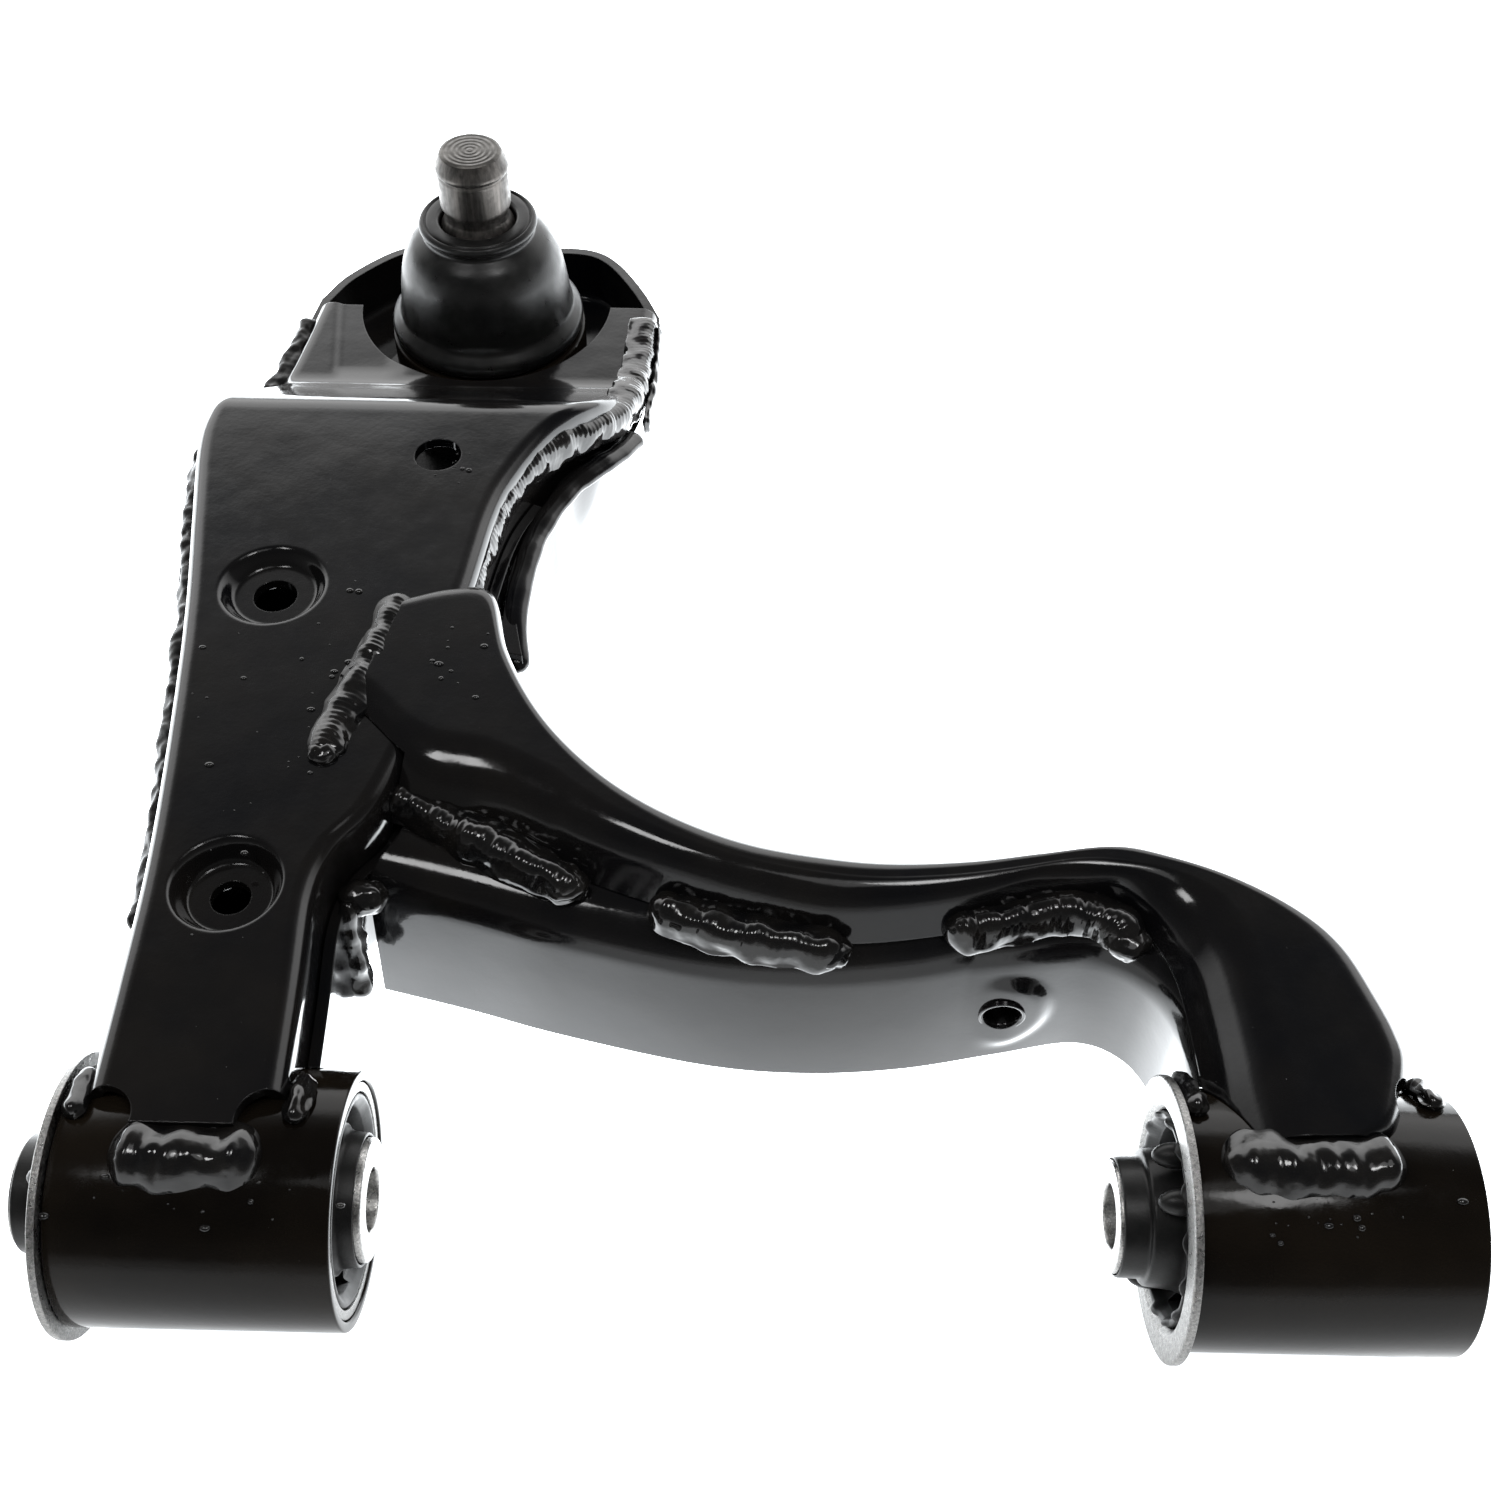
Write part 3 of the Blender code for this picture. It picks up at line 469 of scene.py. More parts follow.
def prism(name, outline, z_high, z_low):
    return block(name, [(p.x, p.y, z_high) for p in outline], [(p.x, p.y, z_low) for p in outline])


def rounded_profile(points, radius, steps=3):
    """A closed profile with its corners rounded, as far as their sides allow."""
    found = []
    count = len(points)
    for i in range(count):
        before, here, after = Vector(points[i - 1]), Vector(points[i]), Vector(points[(i + 1) % count])
        reach = min(radius, (before - here).length * 0.45, (after - here).length * 0.45)
        start = here + (before - here).normalized() * reach
        end = here + (after - here).normalized() * reach
        for step in range(steps + 1):
            t = step / steps
            found.append(start.lerp(here, t).lerp(here.lerp(end, t), t))
    return found


def turned(profile, centre, axis="Z", steps=128, radius=0.0, wobble=None):
    """A turned solid from a closed (radius, height) profile; wobble(angle, r, h) shifts its points."""
    points = rounded_profile(profile, radius) if radius else [Vector(p) for p in profile]
    bm = bmesh.new()
    rings = []
    for p in points:
        ring = []
        for i in range(steps):
            a = 2 * math.pi * i / steps
            r, h = wobble(a, p.x, p.y) if wobble else (p.x, p.y)
            spot = (r * math.cos(a), r * math.sin(a), h) if axis == "Z" else (h, r * math.cos(a), r * math.sin(a))
            ring.append(bm.verts.new(Vector(spot) + Vector(centre)))
        rings.append(ring)
    skin(bm, [*rings, rings[0]], closed=True)
    bmesh.ops.remove_doubles(bm, verts=bm.verts, dist=0.0005)
    bmesh.ops.recalc_face_normals(bm, faces=bm.faces)
    return bm


# The main arm.

LEFT_WALL = smooth_table(MAIN_LEFT)
RIGHT_WALL = smooth_table(MAIN_RIGHT)
LOWER_GAP = 3.4


def soft_ramp(t, half=5.0):
    if t <= -half:
        return 0.0
    return t if t >= half else (t + half) ** 2 / (4 * half)


def plate_height(y):
    slope = (PLATE_TOP - FLAP_TOP) / (SLOPE_END - SLOPE_START)
    return PLATE_TOP - slope * (soft_ramp(y - SLOPE_START) - soft_ramp(y - SLOPE_END))


def wall_x(table, y, gap):
    slope = (value_at(table, y + 4) - value_at(table, y - 4)) / 8
    return value_at(table, y) + gap * math.sqrt(1 + slope * slope)


def seat_drop(x, y):
    """How far the pressed seats take the plate down."""
    drop = 0.0
    for seat_x, seat_y, _, floor_r, depth in SEATS:
        r = math.hypot(x - seat_x, y - seat_y)
        drop += depth * (1 - ease((r - floor_r) / SEAT_SLOPE))
    return drop


def flap_crease(x, y):
    """The faint crease that runs down the left flap."""
    if y < 286:
        return 0.0
    return 0.9 * ease((x - 14.0 + 0.12 * (y - 286)) / 3.5) * ease((y - 286) / 8) * ease((40 - x) / 10)


def channel_section(y, left, right, rim, face, radius, up, steps, height=None):
    """Up one wall from its rim, over a round bend, along the flat face, and the same down the other side.

    Up is 1 for a channel open below and -1 for one open above."""
    level = face - up * radius
    wall = [rim + (level - rim) * i / 4 for i in range(4)]
    bend = [math.pi / 2 * i / 8 for i in range(8)]
    row = [(left, y, z) for z in wall]
    row += [(left + radius * (1 - math.cos(a)), y, face - up * radius * (1 - math.sin(a))) for a in bend]
    for i in range(steps + 1):
        x = left + radius + (right - left - 2 * radius) * i / steps
        row.append((x, y, height(x, y) if height else face))
    row += [(right - radius * (1 - math.cos(a)), y, face - up * radius * (1 - math.sin(a)))
            for a in reversed(bend)]
    return row + [(right, y, z) for z in reversed(wall)]


def upper_section(y):
    top = plate_height(y)
    skirt = value_at(((246, 0.0), (286, 4.6)), y)
    return channel_section(y, value_at(LEFT_WALL, y), value_at(RIGHT_WALL, y), skirt, top,
                           min(BEND_R, top - skirt - 1.0), 1, 120,
                           lambda px, py: top - seat_drop(px, py) - flap_crease(px, py))


def main_arm_upper():
    rows, y = [], 1.6
    while y < ARM_END:
        rows.append(upper_section(y))
        near_seat = any(abs(y - seat_y) < 18 for _, seat_y, _, _, _ in SEATS)
        y += 0.62 if near_seat else 1.5
    rows.append(upper_section(ARM_END))
    shell = piece("main_arm_pressing", sheet_from(rows), PAINT, ["main_arm_upper_shell"])
    x, y, radius = PLAIN_HOLE
    tools = [cylinder("relief", (30, 0, 0), RELIEF_R, 120, "X"),
             cylinder("notch_a", (12.0, 3.0, 30), 7.4, 60), cylinder("notch_b", (50.0, 3.0, 30), 7.6, 60),
             cylinder("joint", (BALL_X, BALL_Y, 20), JOINT_OPENING_R, 80, sides=160),
             cylinder("hole", (x, y, 30), radius, 30)]
    tools += [cylinder("bolt", (x, y, 26), hole_r, 24) for x, y, hole_r, _, _ in SEATS]
    cut(shell, *tools, sharp=60)


def lower_section(y):
    rim = value_at(((180, 16.0), (224, 13.0)), y)
    return channel_section(y, wall_x(LEFT_WALL, y, -LOWER_GAP), wall_x(RIGHT_WALL, y, LOWER_GAP), rim,
                           -16.0, 6.0, -1, 24)


def main_arm_lower():
    rows = [lower_section(20 + 204 * i / 102) for i in range(103)]
    shell = piece("main_arm_lower_pressing", sheet_from(rows, flip=True), PAINT, ["main_arm_lower_shell"])
    cut(shell, cylinder("relief", (30, 0, 0), RELIEF_R, 140, "X"),
        *[cylinder("bolt", (x, y, -16), hole_r, 20) for x, y, hole_r, _, _ in SEATS])


def carrier_outline():
    left = [Vector((x, y)) for y, x in smooth_line(CARRIER_LEFT, 8)]
    right = [Vector((x, y)) for y, x in smooth_line(CARRIER_RIGHT, 8)]
    back = smooth_line(CARRIER_BACK, 8)
    return right + back + left[::-1]


def drawn_in(outline):
    slope = ((226, 0.0), (252, 9.0), (286, 9.0), (330, 0.0))
    return [p - Vector((value_at(slope, p.y), 0)) if p.x > BALL_X else p for p in outline]


def dish(outline, z_high, z_low, bottom_r):
    """A closed block whose walls slope to the drawn-in floor and whose bottom edge is round."""
    bm = bmesh.new()
    levels = [(z_high, 0.0, 0.0)]
    levels += [(z_low + bottom_r + (z_high - z_low - bottom_r) * (1 - t), t * 0.8, 0.0) for t in (0.35, 0.7, 1.0)]
    levels += [(z_low + bottom_r * (1 - math.sin(a)), 0.8 + 0.2 * a / (math.pi / 2), bottom_r * (1 - math.cos(a)))
               for a in (math.pi / 2 * i / 6 for i in range(1, 7))]
    floor_line = drawn_in(outline)
    rows = []
    for z, share, inwards in levels:
        line = [a.lerp(b, share) for a, b in zip(outline, floor_line)]
        rows.append([bm.verts.new((p.x, p.y, z)) for p in (inset(line, inwards) if inwards else line)])
    skin(bm, rows, closed=True)
    bm.faces.new(rows[0][::-1])
    bm.faces.new(rows[-1])
    bmesh.ops.recalc_face_normals(bm, faces=bm.faces)
    return bm


def side_tool(name, profile):
    return block(name, [(-80, y, z) for y, z in profile], [(180, y, z) for y, z in profile])


def main_outline(gap, start, end):
    rows = [start + (end - start) * i / 60 for i in range(61)]
    left = [Vector((wall_x(LEFT_WALL, y, -gap), y)) for y in rows]
    right = [Vector((wall_x(RIGHT_WALL, y, gap), y)) for y in rows]
    return left[::-1] + right


def ball_joint_carrier():
    outline = carrier_outline()
    inner = [p - Vector((0, 30)) if p.y < 190 else p for p in inset(outline, 3.2)]
    carrier = piece("ball_joint_dish", dish(outline, 13.0, -20.4, 5.0), PAINT,
                    ["ball_joint_carrier"])
    hollow = tool("hollow", dish(inner, 13.6, -16.6, 3.0))
    rim = side_tool("rim", ((236, 13), (246, 11.6), (256, 8.6), (266, 4.6), (276, 2), (400, 2), (400, 60),
                            (236, 60)))
    legs = side_tool("legs", ((150, 9.4), (200, -8), (226, -15), (240, -21.5), (240, -60), (150, -60)))
    beside = [p - Vector((0, 40)) if p.y < 181 else p for p in main_outline(LOWER_GAP + 0.3, 180, 224)]
    cut(carrier, hollow, rim, legs, prism("beside", beside, 40, -40),
        prism("skirt", main_outline(0.4, 224, ARM_END), 40, -0.6),
        cylinder("hole", (BALL_X, BALL_Y, -18), 33.8, 30, sides=160))


# The brace.


def band_rows(front, back, count, section):
    """Cross-sections of a band between two edges of equal counts."""
    front_line = even_line(front, count)
    back_line = even_line(list(reversed(back)), count)
    return [section(f, b, i / (count - 1)) for i, (f, b) in enumerate(zip(front_line, back_line))]


def brace_top(x):
    return BRACE_TOP - (BRACE_TOP - SADDLE_TOP) * ease((x - 100) / 150)


def upper_band(front, back, t):
    """Flat on top, a wide soft bend down to the front edge and a tight round one at the back."""
    across = back - front
    width = across.length
    low = SEAM + 0.3
    rise = brace_top(front.x) - low
    bend, tilt, radius = 17.0, math.radians(36 + 22 * ease(t / 0.15)), 6.0
    straight = rise - bend * (1 - math.cos(tilt))
    full_run = straight / math.tan(tilt) + bend * math.sin(tilt)
    run = min(full_run, width * 0.6)
    scale = run / full_run
    row = [(straight / math.tan(tilt) * i / 5 * scale, -rise + straight * i / 5) for i in range(5)]
    for i in range(15):
        a = tilt * (1 - i / 14)
        row.append((run - bend * math.sin(a) * scale, -bend * (1 - math.cos(a))))
    row += [(run + (width - radius - run) * i / 20, 0.0) for i in range(1, 20)]
    row += [(width - radius * (1 - math.sin(a)), -radius * (1 - math.cos(a)))
            for a in (math.pi / 2 * i / 8 for i in range(9))]
    found = []
    for inwards, z in row:
        p = front + across * (inwards / width)
        found.append((p.x, p.y, brace_top(front.x if inwards < run else p.x) + z))
    return found + [(back.x, back.y, low + (brace_top(back.x) - radius - low) * k / 4) for k in range(3, -1, -1)]


def brace_upper():
    rows = band_rows(BRACE_FRONT, BRACE_BACK, 200, upper_band)
    shell = piece("brace_pressing", sheet_from(rows, flip=True), PAINT, ["brace_upper_shell"])
    cut(shell, prism("main_relief", main_outline(0.3, 20, 242), PLATE_TOP + 0.25, -60),
        cylinder("relief", (BUSH_PITCH + 30, 0, 0), RELIEF_R, 140, "X"),
        cylinder("notch", (309.5, 15.0, 30), 6.5, 60), sharp=50)


def lower_band(front, back, _t):
    """The front wall leans back as it rises to a wide round shoulder."""
    lean = LEAN * min(1.0, max(0.0, (262 - front.x) / 50))
    shoulder = 12.0
    heel = 4.0
    across = (back - front).normalized()
    top_front = front + Vector((0, lean))
    row = []
    wall_top = SEAM - shoulder
    for i in range(31):
        share = i / 30
        z = BRACE_BOTTOM + (wall_top - BRACE_BOTTOM) * share
        p = front.lerp(top_front, (z - BRACE_BOTTOM) / (SEAM - BRACE_BOTTOM))
        hole_x, hole_z, _ = FRONT_HOLE
        r = math.hypot(p.x - hole_x, z - hole_z)
        swell = 1.6 * (1 - ease((r - 9.5) / 5.0)) * ease((p.x - hole_x + 8) / 12)
        row.append((p.x, p.y - swell, z))
    start = front.lerp(top_front, (wall_top - BRACE_BOTTOM) / (SEAM - BRACE_BOTTOM))
    for i in range(1, 11):
        a = math.pi / 2 * i / 10
        p = start + across * (shoulder * (1 - math.cos(a))) + Vector((0, lean * 0.2 * math.sin(a)))
        row.append((p.x, p.y, wall_top + shoulder * math.sin(a)))
    begin = Vector(row[-1][:2])
    finish_at = back - across * heel
    for i in range(1, 17):
        p = begin.lerp(finish_at, i / 16)
        row.append((p.x, p.y, SEAM))
    for i in range(1, 7):
        a = math.pi / 2 * i / 6
        p = finish_at + across * (heel * math.sin(a))
        row.append((p.x, p.y, SEAM - heel * (1 - math.cos(a))))
    for i in range(1, 7):
        row.append((back.x, back.y, SEAM - heel + (BRACE_BOTTOM - SEAM + heel) * i / 6))
    return row


def brace_lower():
    rows = band_rows(LOWER_FRONT, LOWER_BACK, 220, lower_band)
    shell = piece("brace_lower_pressing", sheet_from(rows, flip=True), PAINT, ["brace_lower_shell"])
    x, z, radius = FRONT_HOLE
    cut(shell, prism("main_relief", main_outline(LOWER_GAP + 0.3, 20, 224), 60, -60),
        prism("carrier_relief", inset(carrier_outline(), -0.3), 60, -60),
        cylinder("relief", (BUSH_PITCH + 30, 0, 0), RELIEF_R, 140, "X"),
        cylinder("front_hole", (x, 58, z), radius, 24, "Y"))
    face_y = 56.2 + LEAN * (z - BRACE_BOTTOM) / (SEAM - BRACE_BOTTOM) * (262 - x) / 50 - 0.8
    collar = turned(((6.1, -0.4), (6.1, 8.5), (4.7, 8.5), (4.7, 0.6), (5.3, -0.4)), (0, 0, 0), steps=64,
                    radius=0.3)
    lay = Matrix.Translation((x, face_y, z)) @ Matrix.Rotation(-math.pi / 2, 4, "X")
    bmesh.ops.transform(collar, matrix=lay, verts=collar.verts)
    piece("front_hole_collar", collar, PAINT)


# The bushes.


def bush(side, x_start):
    centre = (x_start, 0, 0)
    piece(f"{side}_bush_tube", turned(((30, 65.4), (30, 2.3), (27.5, 2.3), (27.5, 65.4)), centre, "X", 160, 0.5),
          TUBE_PAINT, [f"{side}_bush_housing"])
    piece(f"{side}_bush_flange",
          turned(((27.2, 64.8), (27.2, 2.0), (33.0, 2.0), (33.0, 0.3), (32.4, 0.0), (26.6, 0.0), (25.0, 1.6),
                  (25.0, 64.8)), centre, "X", 160, 0.25),
          FLANGE_STEEL, [f"{side}_bush_outer_shell"])

    def lobes(angle, r, h):
        if h < 6 and r > 21.5:
            return r, h - 1.1 * max(0.0, math.cos(14 * angle)) * ease((r - 21.5) / 2)
        return r, h
    rubber = piece(f"{side}_bush_rubber_ring",
                   turned(((24.7, 64.3), (24.7, 2.6), (24.2, 0.4), (23.0, 0.6), (21.4, 3.4), (19.0, 5.4), (17.4, 4.6),
                           (16.4, 2.0), (15.6, -4.8), (14.0, -5.4), (13.9, -10.9), (13.3, -11.3), (13.3, 61.2),
                           (14.75, 61.6), (14.75, 67.4), (15.4, 67.4), (15.8, 63.4), (17.2, 61.6), (20.4, 61.4),
                           (22.0, 63.6), (23.6, 64.9)), centre, "X", 168, 0.6, lobes),
                   BUSH_RUBBER, [f"{side}_bush_rubber"])
    cutters = []
    for middle in (0, 180):
        angles = [math.radians(middle - 52 + 104 * i / 24) for i in range(25)]
        ring = [(21.4, a) for a in angles] + [(17.6, a) for a in reversed(angles)]
        ends = [[(x, r * math.cos(a), r * math.sin(a)) for r, a in ring] for x in (x_start - 20, x_start + 90)]
        cutters.append(block("void", *ends))
    cut(rubber, *cutters)
    bm = bmesh.new()
    for degrees in (74, 106, 254, 286):
        a = math.radians(degrees)
        made = bmesh.ops.create_uvsphere(bm, u_segments=24, v_segments=16, radius=3.1)["verts"]
        spot = Vector((x_start + 0.6, 20.8 * math.cos(a), 20.8 * math.sin(a)))
        bmesh.ops.transform(bm, matrix=Matrix.Translation(spot) @ Matrix.Diagonal((1.85, 1, 1, 1)), verts=made)
    piece(f"{side}_bush_stop_nubs", bm, BUSH_RUBBER)
    piece(f"{side}_bush_sleeve",
          turned(((14.4, 69), (14.4, 62), (13, 61.4), (13, -12), (7.5, -12), (7.5, 69)), centre, "X", 128, 0.7),
          SLEEVE_STEEL, [f"{side}_bush_inner_sleeve"], body=f"{side}_sleeve")


# The ball joint.


def arc(centre_z, radius, start, end, steps):
    angles = [math.radians(start + (end - start) * i / steps) for i in range(steps + 1)]
    return [(radius * math.cos(a), centre_z + radius * math.sin(a)) for a in angles]


def ball_joint():
    centre = (BALL_X, BALL_Y, 0)
    piece("joint_housing",
          turned(((27, 8), (27, 1.5), (33.5, 1.5), (33.5, -20.8), (37.5, -20.8), (37.5, -25), (32.5, -25),
                  (31, -33), (20.6, -33), (20.6, -3), (17.2, -3), (17.2, 1.5), (24, 8)),
                 centre, steps=160, radius=0.8),
          TUBE_PAINT, ["ball_joint_housing"])
    inside = arc(BALL_Z, 17.3, -62, 23, 24)
    seat = (*inside, (20.3, inside[-1][1]), (20.3, -26.6), (inside[0][0], -26.6))
    piece("joint_seat", turned(seat, centre, steps=96), PLASTIC, ["ball_seat"])
    piece("joint_cover",
          turned(((0, -27.6), (17, -27.6), (20.2, -28.4), (20.2, -31.4), (16.5, -31.4), (12, -29.8), (0, -29.8)),
                 centre, steps=96), FLANGE_STEEL, ["ball_joint_cover"])
    ball = arc(BALL_Z, 17.0, math.degrees(math.acos(9.5 / 17)), -70, 28)
    stud_line = rounded_profile(((0.001, STUD_TOP), (9.9, STUD_TOP), (11.95, 64.3), (11.95, 63.3), (11.3, 62.6),
                                 (11.65, 61.6), (11.65, 50.4), (10.5, 47.8), (10.4, 45.6), (12.3, 42.8),
                                 (12.4, 38.6), (9.8, 14)), 0.7)
    stud_line = [(p.x, p.y) for p in stud_line[4:]]
    piece("joint_stud", turned(((0.0, STUD_TOP), *stud_line, *ball, (0.0, ball[-1][1])), centre, steps=128),
          STUD, ["ball_stud"], body="stud", sharp=50)
    outside = smooth_line(((29.5, 1.9), (31.4, 2.0), (32.6, 3.4), (33.0, 5.4), (32.6, 7.2), (31.2, 8.8),
                           (29.8, 10.4), (29.3, 12.6), (28.9, 16), (28.4, BOOT_SPLIT), (27.6, 25.0),
                           (26.9, 28.2), (25.9, 31), (24.6, 33.7), (23.0, 36.0), (21.3, 37.6), (19.8, 38.7),
                           (18.9, 39.4), (18.6, 40.3), (18.9, 41.3), (19.5, 42.1), (19.7, 43.2), (19.1, 44.2),
                           (18.2, 44.5), (17.6, 44.0), (17.0, 44.5), (15.6, 44.7), (13.4, 44.7)), 4)
    inside = smooth_line(((12.7, 43.6), (12.6, 40.0), (12.9, 37.6), (14.8, 36.0), (18.6, 34.8), (22.0, 33.0),
                          (23.4, 31), (25.6, 25), (26.3, BOOT_SPLIT), (27.0, 17), (27.8, 9.6), (29.5, 8.2)), 4)
    low = [p for line in (outside, inside) for p in line if p.y <= BOOT_SPLIT + 0.001]
    high = [p for line in (outside, inside) for p in line if p.y >= BOOT_SPLIT - 0.001]
    bell = piece("boot_bell", turned(low, centre, steps=144), BOOT_RUBBER, ["dust_boot"],
                 body=None, sharp=60)
    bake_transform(bell)
    neck = piece("boot_neck", turned(high, centre, steps=144), BOOT_RUBBER, ["dust_boot"],
                 body=None, sharp=60)
    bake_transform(neck)
    piece("boot_clamp_ring",
          turned(((29.2, 7.4), (29.2, 2.2), (27.4, 2.2), (27.4, 7.4)), centre, steps=96, radius=0.3),
          FLANGE_STEEL, ["boot_base_ring"])
    piece("boot_spring_ring",
          turned(((17.9, 40.9), (17.9, 39.1), (16.8, 39.1), (16.8, 40.9)), centre, steps=96, radius=0.4),
          BOOT_RUBBER, ["boot_top_ring"], body="boot_collar")


# The welds.


def bead(name, path, width, height, replaces, seed, side=(0, 0, 1), pitch=2.6, rough=0.45, ends=0.5,
         flat=1.9, material=None):
    """A weld bead: overlapping crescent ripples along a path, lumpy, tapering round at each end.

    Width and height are across the bead; side is the direction in which it stands up.
    """
    rng = random.Random(seed)
    line = [Vector(p) for p in path]
    lengths = lengths_along(line)
    total = lengths[-1]
    count = max(int(total / 0.45), 24)
    bm = bmesh.new()
    rings = []
    around = 28
    shift = Vector((rng.uniform(0, 50), rng.uniform(0, 50), 0))
    at = 0
    for i in range(count + 1):
        s = total * i / count
        while at < len(line) - 2 and lengths[at + 1] < s:
            at += 1
        here = line[at].lerp(line[at + 1], (s - lengths[at]) / max(lengths[at + 1] - lengths[at], 1e-9))
        along = (line[at + 1] - line[at]).normalized()
        ahead = line[min(at + 2, len(line) - 1)] - line[at]
        along = (along + ahead.normalized()).normalized()
        up = Vector(side)
        up = (up - along * up.dot(along)).normalized()
        across = along.cross(up)
        from_end = min(s, total - s)
        taper = math.sqrt(max(1 - max(1 - from_end / (width * ends), 0) ** 2, 0.0))
        swell = 1 + 0.16 * noise.noise(Vector((s * 0.11, shift.x, 0)))
        ring = []
        for k in range(around):
            a = 2 * math.pi * k / around
            bow = abs(math.cos(a))
            ripple = 0.5 + 0.5 * math.sin(2 * math.pi * (s + 2.2 * bow * bow) / pitch)
            fade = 0.5 + 0.5 * noise.noise(Vector((s * 0.16, 3.0, shift.y)))
            lift = 1 + (0.07 * fade * ripple if math.sin(a) > -0.2 else 0)
            grit = 1 + rough * 0.2 * noise.noise(Vector((s * 0.2, 1.2 * math.cos(a), 1.2 * math.sin(a))) + shift)
            r_w, r_h = width / 2 * taper * swell * grit, height / 2 * taper * swell * lift * grit
            rise = abs(math.sin(a)) ** flat * math.copysign(1, math.sin(a))
            ring.append(bm.verts.new(here + across * r_w * math.cos(a) + up * r_h * rise))
        rings.append(ring)
    skin(bm, rings, closed=True)
    bm.faces.new(rings[0][::-1])
    bm.faces.new(rings[-1])
    bmesh.ops.remove_doubles(bm, verts=bm.verts, dist=0.001)
    bmesh.ops.recalc_face_normals(bm, faces=bm.faces)
    return piece(name, bm, material or WELD, replaces, sharp=80)


def spatter(name, centre, spread, count, seed, height):
    """Balls of weld spatter and paint nibs stuck to the surface round a point."""
    rng = random.Random(seed)
    bm = bmesh.new()
    for _ in range(count):
        size = 0.22 + 0.75 * rng.random() ** 3
        spot = Vector((rng.gauss(0, spread[0]), rng.gauss(0, spread[1]), 0)) + Vector(centre)
        top = height(spot.x, spot.y)
        if top is None:
            continue
        made = bmesh.ops.create_icosphere(bm, subdivisions=2, radius=size)["verts"]
        bmesh.ops.transform(bm, matrix=Matrix.Translation((spot.x, spot.y, top + size * 0.1))
                            @ Matrix.Diagonal((1 + rng.random() * 0.6, 1, 0.7, 1)), verts=made)
    piece(name, bm, WELD)


def seam_path(table, side, radius, y_start, y_end, lift=0.0, out=0.0):
    found = []
    steps = max(int((y_end - y_start) / 3), 4)
    for i in range(steps + 1):
        y = y_start + (y_end - y_start) * i / steps
        rest = value_at(((224, 16.0), (236, 13.4)), y)
        if y > 236:
            rest = value_at(((240, 13.4), (284, 2.4)), y) + 0.4
        found.append((wall_x(table, y, side * (radius + out)), y, rest + radius + lift))
    return found


def round_bush(x, start, end, radius):
    reach = HOUSING_R + radius * 0.5
    angles = [math.radians(start + (end - start) * i / 12) for i in range(13)]
    return [(x, reach * math.sin(a), reach * math.cos(a)) for a in angles]


